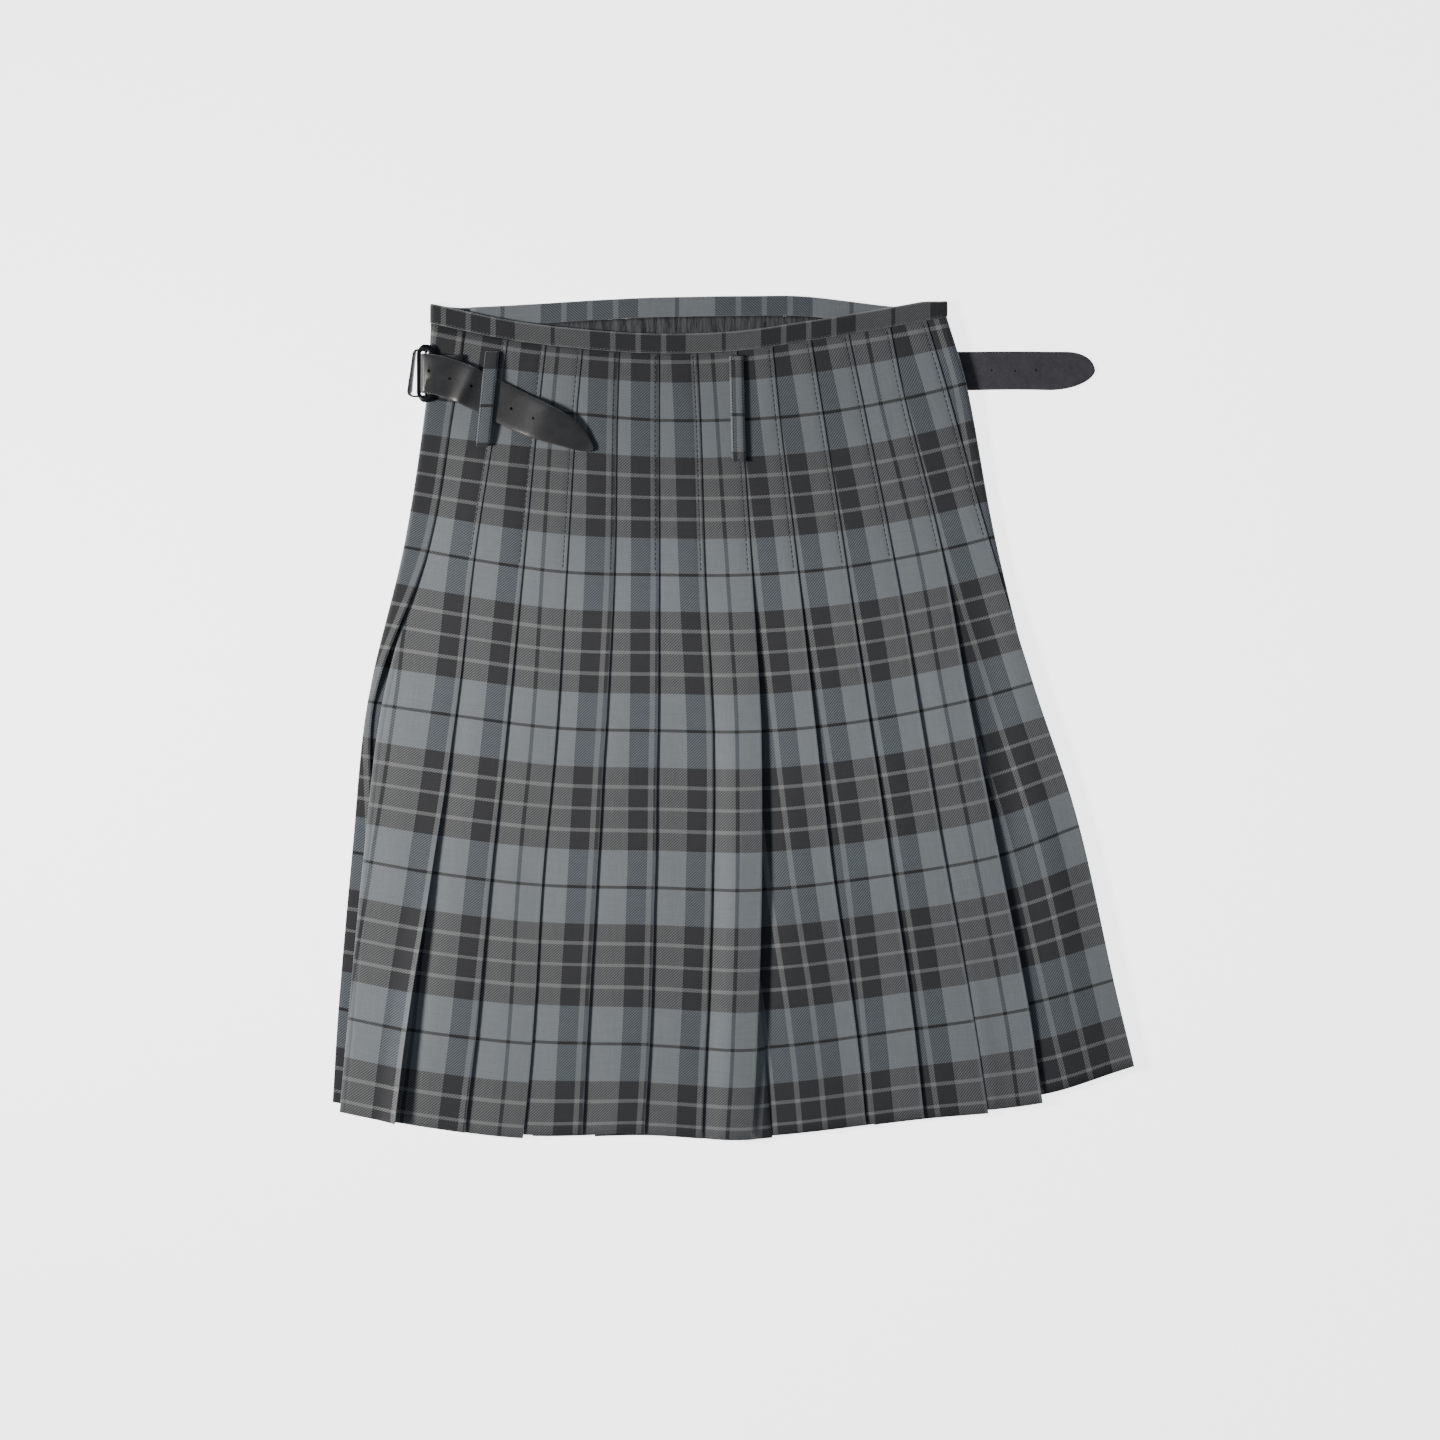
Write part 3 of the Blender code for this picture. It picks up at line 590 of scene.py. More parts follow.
def paintedShadeAt(length, x):
    # painted shade: the cloth is darker round the hips, and less so at the right
    down = ease(paintedShadeSpread["endsAt"], paintedShadeSpread["fullAt"], length)
    return down * mixTo(1.0, paintedShadeSpread["rightShare"], ease(0, paintedShadeSpread["rightX"], x))


def newPiece(name, verts, faces, material=None, edges=()):
    mesh = bpy.data.meshes.new(name)
    mesh.from_pydata(verts, edges, faces)
    if material:
        mesh.materials.append(material)
    piece = bpy.data.objects.new(name, mesh)
    bpy.context.scene.collection.objects.link(piece)
    return piece


def dressMesh(mesh, mapOf, wearAndSheen, paintedShade):
    # the tartan's map, where edges carry wear and painted shine, and the painted shade, vertex by
    # vertex
    uvMap = mesh.uv_layers.new(name="tartanMap")
    for loop in mesh.loops:
        uvMap.data[loop.index].uv = mapOf(loop.vertex_index)
    for name, values in (("wearAndSheen", wearAndSheen), ("paintedShade", paintedShade)):
        if values:
            mesh.attributes.new(name, "FLOAT", "POINT").data.foreach_set("value", values)
    mesh.polygons.foreach_set("use_smooth", [True] * len(mesh.polygons))


def turnOutwards(mesh):
    work = bmesh.new()
    work.from_mesh(mesh)
    bmesh.ops.recalc_face_normals(work, faces=work.faces)
    work.to_mesh(mesh)
    work.free()


def settlePiece(piece):
    # turns modifiers into plain mesh
    bpy.context.view_layer.update()
    graph = bpy.context.evaluated_depsgraph_get()
    final = bpy.data.meshes.new_from_object(piece.evaluated_get(graph), depsgraph=graph)
    piece.modifiers.clear()
    old, piece.data = piece.data, final
    bpy.data.meshes.remove(old)
    final.name = piece.name
    return piece


def clothPiece(name, rows, lengths, wall, material, paintedShade=True):
    # a wall of even thickness on rows of (x, y, z, count, wear and painted shine), with the
    # tartan's own map
    across = len(rows[0])
    verts = [(p[0] * mm, p[1] * mm, p[2] * mm) for row in rows for p in row]
    faces = [(a, a + 1, a + across + 1, a + across)
             for r in range(len(rows) - 1) for a in range(r * across, (r + 1) * across - 1)]
    piece = newPiece(name, verts, faces, material)

    def mapOf(vertex):
        r, i = divmod(vertex, across)
        return (rows[r][i][3] / cloth["settWidth"],
                (lengths[r] - cloth["thinLineAt"]) / cloth["settLength"])

    dressMesh(piece.data, mapOf, [p[4] for row in rows for p in row],
              paintedShade and [paintedShadeAt(length, p[0]) for length, row in zip(lengths, rows)
                           for p in row])
    shell = piece.modifiers.new("wall", "SOLIDIFY")
    shell.thickness = wall * mm
    shell.offset = 0.0
    shell.use_even_offset = True
    shell.thickness_clamp = 1.0
    return settlePiece(piece)


def tubeFaces(rings, sides, closed=False):
    # quads between the rings, and a cap at each end of an open tube
    faces = []
    for k in range(rings if closed else rings - 1):
        a, b = k * sides, (k + 1) % rings * sides
        for i in range(sides):
            j = (i + 1) % sides
            faces.append((a + i, b + i, b + j, a + j))
    if not closed:
        faces.append(tuple(range(sides)))
        faces.append(tuple(reversed(range((rings - 1) * sides, rings * sides))))
    return faces


bandSpots = (0.0, 0.012, 0.045, 0.12, 0.25, 0.4, 0.5, 0.6, 0.75, 0.88, 0.955, 0.988, 1.0)


def bandPiece(name, stations, wall, material, mapAt=None, crown=0.0, squareness=14, paintedShadeBy=None):
    # a strip with rounded edges: stations are (edge point, other edge point, up vector)
    ring = [(t, (1 - abs(2 * t - 1) ** squareness) ** 0.5 * (1 + crown * (1 - (2 * t - 1) ** 2)))
            for t in bandSpots]
    outline = ring + [(t, -height) for t, height in reversed(ring[1:-1])]
    verts, places = [], []
    run = 0.0
    for k, (a, b, up) in enumerate(stations):
        up = up.normalized()
        if k:
            run += ((a + b) / 2 - (stations[k - 1][0] + stations[k - 1][1]) / 2).length
        for t, height in outline:
            verts.append((a.lerp(b, t) + up * height * wall / 2) * mm)
            places.append((run, t))
    piece = newPiece(name, verts, tubeFaces(len(stations), len(outline)), material)

    def mapOf(vertex):
        along, t = places[vertex]
        return mapAt(along, t) if mapAt else (along * mm, t)

    # the strip's edges are lightened by wear and painted shine
    dressMesh(piece.data, mapOf, [1.0 if min(t, 1 - t) < 0.03 else 0.0 for along, t in places],
              paintedShadeBy and [paintedShadeBy(along) for along, t in places])
    turnOutwards(piece.data)
    return piece


# Materials

def newGroup(name, inputs, outputs):
    tree = bpy.data.node_groups.new(name, "ShaderNodeTree")
    for label, value in inputs.items():
        kind = "Vector" if value is None else "Float" if isinstance(value, float) else "Color"
        socket = tree.interface.new_socket(label, in_out="INPUT", socket_type="NodeSocket" + kind)
        if value is not None:
            socket.default_value = value
    for label, kind in outputs.items():
        tree.interface.new_socket(label, in_out="OUTPUT", socket_type="NodeSocket" + kind)
    return tree, tree.nodes.new("NodeGroupInput").outputs, tree.nodes.new("NodeGroupOutput").inputs


def wire(tree, value, socket):
    if isinstance(value, bpy.types.NodeSocket):
        tree.links.new(value, socket)
    else:
        socket.default_value = value


def addNode(tree, kind, settings=None, **values):
    # a node with its settings, and its inputs by name, with _ for a space
    node = tree.nodes.new(kind)
    for label, value in (settings or {}).items():
        setattr(node, label, value)
    for label, value in values.items():
        wire(tree, value, node.inputs[label.replace("_", " ")])
    return node


def calc(tree, operation, *values):
    node = addNode(tree, "ShaderNodeMath", {"operation": operation})
    for value, socket in zip(values, node.inputs):
        wire(tree, value, socket)
    return node.outputs[0]


def times(tree, a, b):
    return calc(tree, "MULTIPLY", a, b)


def plus(tree, a, b):
    return calc(tree, "ADD", a, b)


def minus(tree, a, b):
    return calc(tree, "SUBTRACT", a, b)


def blendColour(tree, factor, a, b, kind="MIX"):
    node = addNode(tree, "ShaderNodeMix", {"data_type": "RGBA", "blend_type": kind})
    for value, k in ((factor, 0), (a, 6), (b, 7)):
        wire(tree, value, node.inputs[k])
    return node.outputs[2]


def remap(tree, value, fromLow, fromHigh, toLow, toHigh):
    node = addNode(tree, "ShaderNodeMapRange")
    for part, socket in zip((value, fromLow, fromHigh, toLow, toHigh), node.inputs):
        wire(tree, part, socket)
    return node.outputs[0]


def noiseAt(tree, vector, scale, detail):
    return addNode(tree, "ShaderNodeTexNoise", Vector=vector, Scale=scale, Detail=detail).outputs[0]


def scaled(tree, vector, amounts):
    return addNode(tree, "ShaderNodeMapping", Vector=vector, Scale=amounts).outputs[0]


def attributeAt(tree, name):
    return addNode(tree, "ShaderNodeAttribute", {"attribute_name": name}).outputs["Fac"]


def stripeRamp(tree, position, stripes):
    # red is blue yarn, green is light yarn, blue is a tight dark line, and none is charcoal yarn
    node = addNode(tree, "ShaderNodeValToRGB")
    ramp = node.color_ramp
    ramp.interpolation = "CONSTANT"
    yarns = {"dark": (0, 0, 0, 1), "blue": (1, 0, 0, 1), "light": (0, 1, 0, 1),
             "line": (0, 0, 1, 1)}
    total = sum(width for yarn, width in stripes)
    at = 0.0
    for k, (yarn, width) in enumerate(stripes):
        stop = ramp.elements[0] if k == 0 else ramp.elements.new(at / total)
        stop.color = yarns[yarn]
        at += width
    ramp.elements.remove(ramp.elements[-1])
    wire(tree, position, node.inputs[0])
    return addNode(tree, "ShaderNodeSeparateColor", Color=node.outputs[0]).outputs


sett = {
    "across": [("dark", 19.5), ("light", 5), ("dark", 19.5), ("light", 5), ("dark", 19.5),
               ("light", 5), ("dark", 19.5), ("blue", 34.5), ("dark", 4.5), ("blue", 34.5)],
    "down": [("line", 1.75), ("blue", 35.25), ("dark", 18), ("light", 3.5), ("dark", 18),
             ("light", 3.5), ("dark", 18), ("light", 3.5), ("dark", 18), ("blue", 35.25),
             ("line", 1.75)],
    "threadsAcross": 232.0,     # a repeat of 127.4 mm at about 0.55 mm a thread
    "threadsDown": 220.0,
    "clouding": 0.1,
    "lineDepth": 0.3,
}


def makeTartanGroup():
    tree, ins, outs = newGroup("tartanTwill", {
        "Map": None,
        "Warp Blue": (0.222, 0.226, 0.228, 1),
        "Warp Dark": (0.038, 0.038, 0.042, 1),
        "Weft Blue": (0.194, 0.22, 0.246, 1),
        "Weft Dark": (0.044, 0.043, 0.045, 1),
        "Light Yarn": (0.222, 0.224, 0.222, 1),
    }, {"Color": "Color", "Height": "Float"})
    across, down = addNode(tree, "ShaderNodeSeparateXYZ", Vector=ins["Map"]).outputs[:2]
    yarnColours, blueMasks = [], []
    for position, stripes, yarn in ((across, sett["across"], "Warp"), (down, sett["down"], "Weft")):
        isBlue, isLight, isLine = stripeRamp(tree, calc(tree, "FRACT", position), stripes)
        base = blendColour(tree, isBlue, ins[yarn + " Dark"], ins[yarn + " Blue"])
        yarnColours.append(blendColour(tree, isLight, base, ins["Light Yarn"]))
        blueMasks.append(isBlue)
    warpThread = times(tree, across, sett["threadsAcross"])
    weftThread = times(tree, down, sett["threadsDown"])
    steps = plus(tree, calc(tree, "FLOOR", warpThread), calc(tree, "FLOOR", weftThread))
    warpOver = calc(tree, "LESS_THAN", calc(tree, "FRACT", times(tree, steps, 0.25)), 0.45)
    # each yarn's hairs blur the one beside it
    shown = remap(tree, warpOver, 0.0, 1.0, 0.15, 0.82)
    colour = blendColour(tree, shown, yarnColours[1], yarnColours[0])
    # round yarns, and slubs that run along them
    roundWarp, roundWeft = (calc(tree, "SINE", times(tree, calc(tree, "FRACT", thread), math.pi))
                            for thread in (warpThread, weftThread))
    height = plus(tree, times(tree, roundWarp, warpOver),
                  times(tree, roundWeft, minus(tree, 1.0, warpOver)))
    warpSlub, weftSlub = (noiseAt(tree, scaled(tree, ins["Map"], amounts), 1.0, 2)
                          for amounts in ((190, 5, 1), (5, 180, 1)))
    tint = remap(tree, blendColour(tree, warpOver, weftSlub, warpSlub), 0.25, 0.75, 0.86, 1.13)
    # where a dark yarn crosses a blue one its fibres cloud the blue, and a tight line is darker
    crossing = calc(tree, "ABSOLUTE", minus(tree, blueMasks[0], blueMasks[1]))
    for mask, amount in ((crossing, sett["clouding"]), (isLine, sett["lineDepth"])):
        tint = times(tree, tint, minus(tree, 1.0, times(tree, mask, amount)))
    wire(tree, blendColour(tree, 1.0, colour, tint, "MULTIPLY"), outs["Color"])
    wire(tree, height, outs["Height"])
    return tree


def makeWearAndShineGroup():
    # lightens edges with wear and painted shine, with a broken outline
    tree, ins, outs = newGroup("rubbedOrShiningEdge", {
        "Color": (0.2, 0.2, 0.2, 1), "Rubbed Color": (0.4, 0.4, 0.4, 1), "Amount": 0.3,
        "Vector": None,
    }, {"Color": "Color"})
    patches = remap(tree, noiseAt(tree, ins["Vector"], 90.0, 3), 0.3, 0.6, 0.45, 1.0)
    mask = times(tree, times(tree, attributeAt(tree, "wearAndSheen"), patches), ins["Amount"])
    wire(tree, blendColour(tree, mask, ins["Color"], ins["Rubbed Color"]), outs["Color"])
    return tree


def makePaintedShadeGroup():
    # painted shade: darkens the cloth as its attribute asks, in uneven patches
    tree, ins, outs = newGroup("paintedShadeOnCloth", {
        "Color": (0.2, 0.2, 0.2, 1), "Amount": 0.25, "Vector": None,
    }, {"Color": "Color"})
    patches = remap(tree, noiseAt(tree, ins["Vector"], 26.0, 4), 0.3, 0.7, 0.8, 1.15)
    mask = times(tree, times(tree, attributeAt(tree, "paintedShade"), patches), ins["Amount"])
    wire(tree, blendColour(tree, 1.0, ins["Color"], minus(tree, 1.0, mask), "MULTIPLY"),
         outs["Color"])
    return tree


def makeNapGroup():
    # soft unevenness of a pressed cloth or hide: tint and roughness
    tree, ins, outs = newGroup("softNap", {
        "Color": (0.2, 0.2, 0.2, 1), "Vector": None, "Strength": 0.1, "Roughness": 0.8,
    }, {"Color": "Color", "Roughness": "Float"})
    wide = noiseAt(tree, ins["Vector"], 11.0, 3)
    fine = noiseAt(tree, ins["Vector"], 420.0, 2)
    centred = minus(tree, plus(tree, times(tree, wide, 0.55), times(tree, fine, 0.45)), 0.5)
    gain = plus(tree, times(tree, centred, times(tree, ins["Strength"], 4.0)), 1.0)
    wire(tree, blendColour(tree, 1.0, ins["Color"], gain, "MULTIPLY"), outs["Color"])
    wire(tree, plus(tree, ins["Roughness"], times(tree, centred, 0.25)), outs["Roughness"])
    return tree


def makeGrainGroup():
    # pores and fine creases of leather
    tree, ins, outs = newGroup("hideGrain", {
        "Vector": None, "Pore Scale": 900.0, "Crease Scale": 60.0, "Crease Share": 0.4,
    }, {"Height": "Float", "Mottle": "Float"})
    pores = addNode(tree, "ShaderNodeTexVoronoi", {"feature": "SMOOTH_F1"},
                    Vector=ins["Vector"], Scale=ins["Pore Scale"])
    lines = addNode(tree, "ShaderNodeTexNoise", Vector=ins["Vector"], Scale=ins["Crease Scale"],
                    Detail=5.0, Distortion=0.6).outputs[0]
    ridged = calc(tree, "ABSOLUTE", minus(tree, lines, 0.5))
    share = ins["Crease Share"]
    wire(tree, plus(tree, times(tree, pores.outputs["Distance"], minus(tree, 1.0, share)),
                    times(tree, ridged, times(tree, share, 3.0))), outs["Height"])
    wire(tree, lines, outs["Mottle"])
    return tree


groups = {
    "tartan": makeTartanGroup(),
    "edgeWearAndShine": makeWearAndShineGroup(),
    "nap": makeNapGroup(),
    "paintedShade": makePaintedShadeGroup(),
    "grain": makeGrainGroup(),
}


def newMaterial(name):
    material = bpy.data.materials.new(name)
    material.use_nodes = True
    return material, material.node_tree, material.node_tree.nodes["Principled BSDF"]


def objectPlace(tree):
    return addNode(tree, "ShaderNodeTexCoord").outputs["Object"]


def placeGroup(tree, kind, **values):
    return addNode(tree, "ShaderNodeGroup", {"node_tree": groups[kind]}, **values).outputs


def setShader(tree, shader, **values):
    for label, value in values.items():
        wire(tree, value, shader.inputs[label.replace("_", " ")])


def addBump(tree, shader, height, distance, strength):
    bump = addNode(tree, "ShaderNodeBump", Distance=distance, Strength=strength, Height=height)
    tree.links.new(bump.outputs[0], shader.inputs["Normal"])


# the rubbed colour lightens edges with wear and painted shine; one amount sets the painted shade
tartanLook = {
    "rubbedOrShining": (0.33, 0.355, 0.37, 1),
    "rubbedOrShiningAmount": 0.4,
    "paintedShadeAmount": 0.2,
    "nap": 0.09,
    "roughness": 0.82,
    "sheen": 0.12,
    "threadRelief": 0.00012,
}


def makeTartan(name, look):
    material, tree, shader = newMaterial(name)
    weaveMap = addNode(tree, "ShaderNodeUVMap", {"uv_map": "tartanMap"}).outputs[0]
    place = objectPlace(tree)
    weave = placeGroup(tree, "tartan", Map=weaveMap)
    nap = placeGroup(tree, "nap", Color=weave["Color"], Vector=place,
                     Strength=look["nap"], Roughness=look["roughness"])
    # painted shade on the hips, the band and the loops
    shadePainted = placeGroup(tree, "paintedShade", Color=nap["Color"], Vector=place,
                      Amount=look["paintedShadeAmount"])
    wearAndSheen = placeGroup(tree, "edgeWearAndShine", Color=shadePainted["Color"], Vector=place,
                      Rubbed_Color=look["rubbedOrShining"], Amount=look["rubbedOrShiningAmount"])
    setShader(tree, shader, Base_Color=wearAndSheen["Color"], Roughness=nap["Roughness"],
              Sheen_Weight=look["sheen"], Sheen_Roughness=0.45, Specular_IOR_Level=0.25)
    addBump(tree, shader, weave["Height"], look["threadRelief"], 0.7)
    return material


def makePlainCloth(name, colour, relief, gathers=0.0):
    material, tree, shader = newMaterial(name)
    place = objectPlace(tree)
    nap = placeGroup(tree, "nap", Color=colour, Vector=place, Strength=0.16, Roughness=0.7)
    setShader(tree, shader, Base_Color=nap["Color"], Roughness=nap["Roughness"],
              Specular_IOR_Level=0.35)
    threads = addNode(tree, "ShaderNodeTexWave", Scale=600.0, Distortion=0.3, Vector=place)
    height = times(tree, threads.outputs["Fac"], relief)
    if gathers:
        wrinkles = noiseAt(tree, scaled(tree, place, (150, 38, 1)), 1.0, 3)
        height = plus(tree, height, times(tree, wrinkles, gathers))
    addBump(tree, shader, height, 1.0, 0.8)
    return material


def makeHide(name, look):
    material, tree, shader = newMaterial(name)
    place = objectPlace(tree)
    grain = placeGroup(tree, "grain", Vector=place, Pore_Scale=look["pores"],
                       Crease_Scale=look["creases"], Crease_Share=look["creaseShare"])
    tinted = blendColour(tree, remap(tree, grain["Mottle"], 0.35, 0.65, 0.0, 1.0),
                         look["colour"], look["mottle"])
    nap = placeGroup(tree, "nap", Color=tinted, Vector=place, Strength=look["nap"],
                     Roughness=look["roughness"])
    wearAndSheen = placeGroup(tree, "edgeWearAndShine", Color=nap["Color"], Vector=place,
                      Rubbed_Color=look["rubbedOrShining"], Amount=look["rubbedOrShiningAmount"])
    setShader(tree, shader, Base_Color=wearAndSheen["Color"], Roughness=nap["Roughness"],
              Specular_IOR_Level=look["specular"], Coat_Weight=look["coat"], Coat_Roughness=0.24)
    addBump(tree, shader, grain["Height"], look["relief"], 0.8)
    return material


def makeMetal(name, colour, roughness):
    material, tree, shader = newMaterial(name)
    place = objectPlace(tree)
    nap = placeGroup(tree, "nap", Color=colour, Vector=place, Strength=0.12, Roughness=roughness)
    setShader(tree, shader, Base_Color=nap["Color"], Roughness=nap["Roughness"], Metallic=1.0)
    scratches = noiseAt(tree, scaled(tree, place, (60, 1400, 60)), 1.0, 3)
    addBump(tree, shader, scratches, 0.00002, 0.5)
    return material


smoothHide = {
    "colour": (0.018, 0.017, 0.018, 1), "mottle": (0.034, 0.032, 0.032, 1),
    "rubbedOrShining": (0.12, 0.115, 0.12, 1), "rubbedOrShiningAmount": 0.35, "roughness": 0.48, "specular": 0.5,
    "pores": 1100.0, "creases": 55.0, "creaseShare": 0.45, "relief": 0.00012, "nap": 0.16,
    "coat": 0.6,
}
fleshHide = {
    "colour": (0.066, 0.062, 0.072, 1), "mottle": (0.08, 0.076, 0.084, 1),
    "rubbedOrShining": (0.09, 0.07, 0.13, 1), "rubbedOrShiningAmount": 0.3, "roughness": 0.92, "specular": 0.2,
    "pores": 1500.0, "creases": 140.0, "creaseShare": 0.6, "relief": 0.0001, "nap": 0.22,
    "coat": 0.0,
}

materials = {
    "tartan": makeTartan("tartanWool", tartanLook),
    "lining": makePlainCloth("liningCloth", (0.055, 0.055, 0.058, 1), 0.0001, 0.006),
    "leather": makeHide("strapLeather", smoothHide),
    "suede": makeHide("strapSuede", fleshHide),
    "metal": makeMetal("nickel", (0.17, 0.16, 0.17, 1), 0.28),
    "darkMetal": makeMetal("darkNickel", (0.035, 0.035, 0.042, 1), 0.3),
    "thread": makePlainCloth("charcoalThread", (0.022, 0.022, 0.026, 1), 0.00005),
    "lightThread": makePlainCloth("greyThread", (0.16, 0.165, 0.165, 1), 0.00005),
}
print("materials made:", len(materials))


# Cloth panels

lengths = rowLengths()


def makePanel(name, rowAt):
    rows = [rowAt(length) for length in lengths]
    return clothPiece(name, rows, lengths, cloth["wall"], materials["tartan"]), rows


pleatedBack, pleatedRows = makePanel("pleatedBack", backRow)
overApron, overRows = makePanel("overApron", overApronRow)
underApron, underRows = makePanel("underApron", underApronRow)
print("panels made:", len(pleatedBack.data.polygons), "faces in the pleats")

liningLook = {"z": 3.5, "wall": 0.8, "drop": 55.0, "inset": 36.0, "columns": 110, "rows": 22,
              "gather": 1.1, "lowest": 0.4}


def liningRow(down):
    left = foldAt("left", 0.0) + liningLook["inset"]
    right = foldAt("right", 0.0) - liningLook["inset"]
    row = []
    for i in range(liningLook["columns"] + 1):
        x = mixTo(left, right, i / liningLook["columns"])
        gathers = (noise.noise((x / 7.0, down / 26.0, 5.0))
                   + 0.6 * noise.noise((x / 17.0 + down / 30.0, down / 9.0, 9.0)))
        z = liningLook["z"] + liningLook["gather"] * (0.5 + gathers) * ease(-3.0, 3.0, down)
        z = max(liningLook["z"] - liningLook["lowest"], z)
        row.append((x, frontY(0.0, x) - down, z, x, 0.0))
    return row


liningLengths = [liningLook["drop"] * r / liningLook["rows"] for r in range(liningLook["rows"] + 1)]
liningGrid = [liningRow(down) for down in liningLengths]
lining = clothPiece("frontLining", liningGrid, liningLengths, liningLook["wall"],
                    materials["lining"], paintedShade=False)


# The waistband: one folded strip from the over apron round the back to the under apron

band = {
    "width": 15.3,
    "wall": 1.9,
    "gap": 0.3,                   # between the cloth's edge and the band
    "overZ": 1.0,                 # heights on the over apron, the under apron and the back
    "underZ": 3.3,
    "backZ": 6.9,
    "thinAt": -8.8,               # the sett's thin line crosses the back's band here
    "stretch": 1.027,
    "thinSett": 129.75 / stripesAcross,
    "topLine": 55.0 / stripesDown + 0.011,   # the light line along its top edge
    "repeat": 21.5 / stripesDown,            # and the next one along the seam
    "insideThinAt": (-43.0, 90.3),           # the thin line on the front's inside
    "insideDown": (8.0 / stripesDown, 29.0 / stripesDown),
    # painted shade on the band, outside and inside
    "paintedShade": 1.1,
    "insidePaintedShade": 0.9,
    "insideShade": 1.0,           # painted shade, deepest on the inside beside the left turn
    "cornerDrop": 3.0,            # the top edge falls towards the right corner
    "lap": 3.2,                   # how far the front's band laps over its cloth at both sides
}


def bandPath():
    # X, Z and whether it lies on the back, all round the waist
    left, right = foldAt("left", 0.0), foldAt("right", 0.0)
    overZ, underZ, backZ = band["overZ"], band["underZ"], band["backZ"]
    overEnd = left + (backZ - overZ) / 2
    backEnd = right - (backZ - underZ) / 2

    def straightRun(start, end, z, onBack, picked, steps):
        return [(mixTo(start, end, i / steps), z, onBack) for i in picked]

    path = straightRun(right - apron["tuck"], overEnd, overZ, False, range(40), 40)
    path += [(x, z, z > underZ) for x, z in halfTurn(left, overZ, backZ, -1)]
    path += straightRun(overEnd, backEnd, backZ, True, range(1, 90), 90)
    path += [(x, z, z > underZ) for x, z in reversed(halfTurn(right, underZ, backZ, 1))]
    path += straightRun(backEnd, left + apron["underStart"], underZ, False, range(1, 61), 60)
    return path


def makeWaistband():
    path = bandPath()
    stations = []
    for k, (x, z, onBack) in enumerate(path):
        before, after = path[max(k - 1, 0)], path[min(k + 1, len(path) - 1)]
        run = Vector((after[0] - before[0], 0.0, after[1] - before[1])).normalized()
        # under the back at both sides, the lap leaves no slit between the front's band and cloth
        lap = 0.0 if onBack else band["lap"] * max(ease(-150, -180, x), ease(130, 155, x))
        low = (backY(0.0, x) if onBack else frontY(0.0, x)) + band["gap"] - lap
        high = low + lap + band["width"] - band["cornerDrop"] * ease(143, 163, x)
        wave = 0.12 * noise.noise((x / 19.0, z, 2.0))
        stations.append((Vector((x, low + wave, z)), Vector((x, high + wave, z)),
                         Vector((run.z, 0.0, -run.x))))
    runs = [0.0]
    for a, b in zip(stations, stations[1:]):
        runs.append(runs[-1] + ((b[0] + b[1]) / 2 - (a[0] + a[1]) / 2).length)
    onBackOnly = [k for k in range(len(path)) if path[k][2]]
    thinRun = runs[min(onBackOnly, key=lambda k: abs(path[k][0] - band["thinAt"]))]
    insideStart = runs[onBackOnly[-1]]
    insideX = [(run, spot[0]) for run, spot in zip(runs, path) if run >= insideStart]
    thinA, thinB = band["insideThinAt"]

    def insideXAt(along):
        return min(insideX, key=lambda spot: abs(spot[0] - along))[1]

    def mapAt(along, t):
        if along > insideStart:
            across = band["thinSett"] + (insideXAt(along) - thinA) / (thinB - thinA)
            return across, mixTo(*band["insideDown"], t)
        across = band["thinSett"] + (along - thinRun) / (cloth["settWidth"] * band["stretch"])
        return across, band["topLine"] + band["repeat"] * (1 - t)

    # painted shade along the band
    def paintedShadeBy(along):
        if along <= insideStart:
            return band["paintedShade"]
        return mixTo(band["insideShade"], band["insidePaintedShade"], ease(-172, -140, insideXAt(along)))

    return bandPiece("foldedWaistband", stations, band["wall"], materials["tartan"], mapAt, 0.04,
                     paintedShadeBy=paintedShadeBy)


waistband = makeWaistband()
print("waistband made")


# Belt loops: both ends, the rise between them, and the place of each one in the tartan

loops = {
    # the last value of each loop is painted shade on it
    "left": {"top": (-183.5, 279.0), "bottom": (-190.5, 207.0), "bulge": 3.6, "sett": 0.205,
             "down": 7.0, "squareness": 5.0, "wall": 2.3, "paintedShade": 0.2},
    "centre": {"top": (2.5, 275.5), "bottom": (4.5, 195.0), "bulge": 0.3, "sett": 0.80,
               "down": 4.5, "squareness": 2.6, "wall": 3.0, "paintedShade": 1.0},
    "width": 10.7,
    "restZ": 11.2,    # height of the loops' ends
    "steps": 36,
}


def loopSpot(key, t):
    look = loops[key]
    x, y = (mixTo(a, b, t) for a, b in zip(look["top"], look["bottom"]))
    return x, y, loops["restZ"] + look["bulge"] * math.sin(math.pi * t) ** 0.5


def makeLoop(key):
    look = loops[key]
    stations = []
    for i in range(loops["steps"] + 1):
        t = i / loops["steps"]
        x, y, z = loopSpot(key, t)
        half = loops["width"] / 2 * (1 + 0.03 * noise.noise((t * 5, 0.0, 4.0)))
        stations.append((Vector((x - half, y, z)), Vector((x + half, y, z)), upwards))

    def mapAt(along, t):
        return (look["sett"] + (t - 0.5) * loops["width"] / cloth["settWidth"],
                (look["down"] + along - cloth["thinLineAt"]) / cloth["settLength"])

    return bandPiece("beltLoop" + key.capitalize(), stations, look["wall"], materials["tartan"],
                     mapAt, 0.1, look["squareness"], paintedShadeBy=lambda along: look["paintedShade"])


beltLoopLeft = makeLoop("left")
beltLoopCentre = makeLoop("centre")


# Straps and buckle

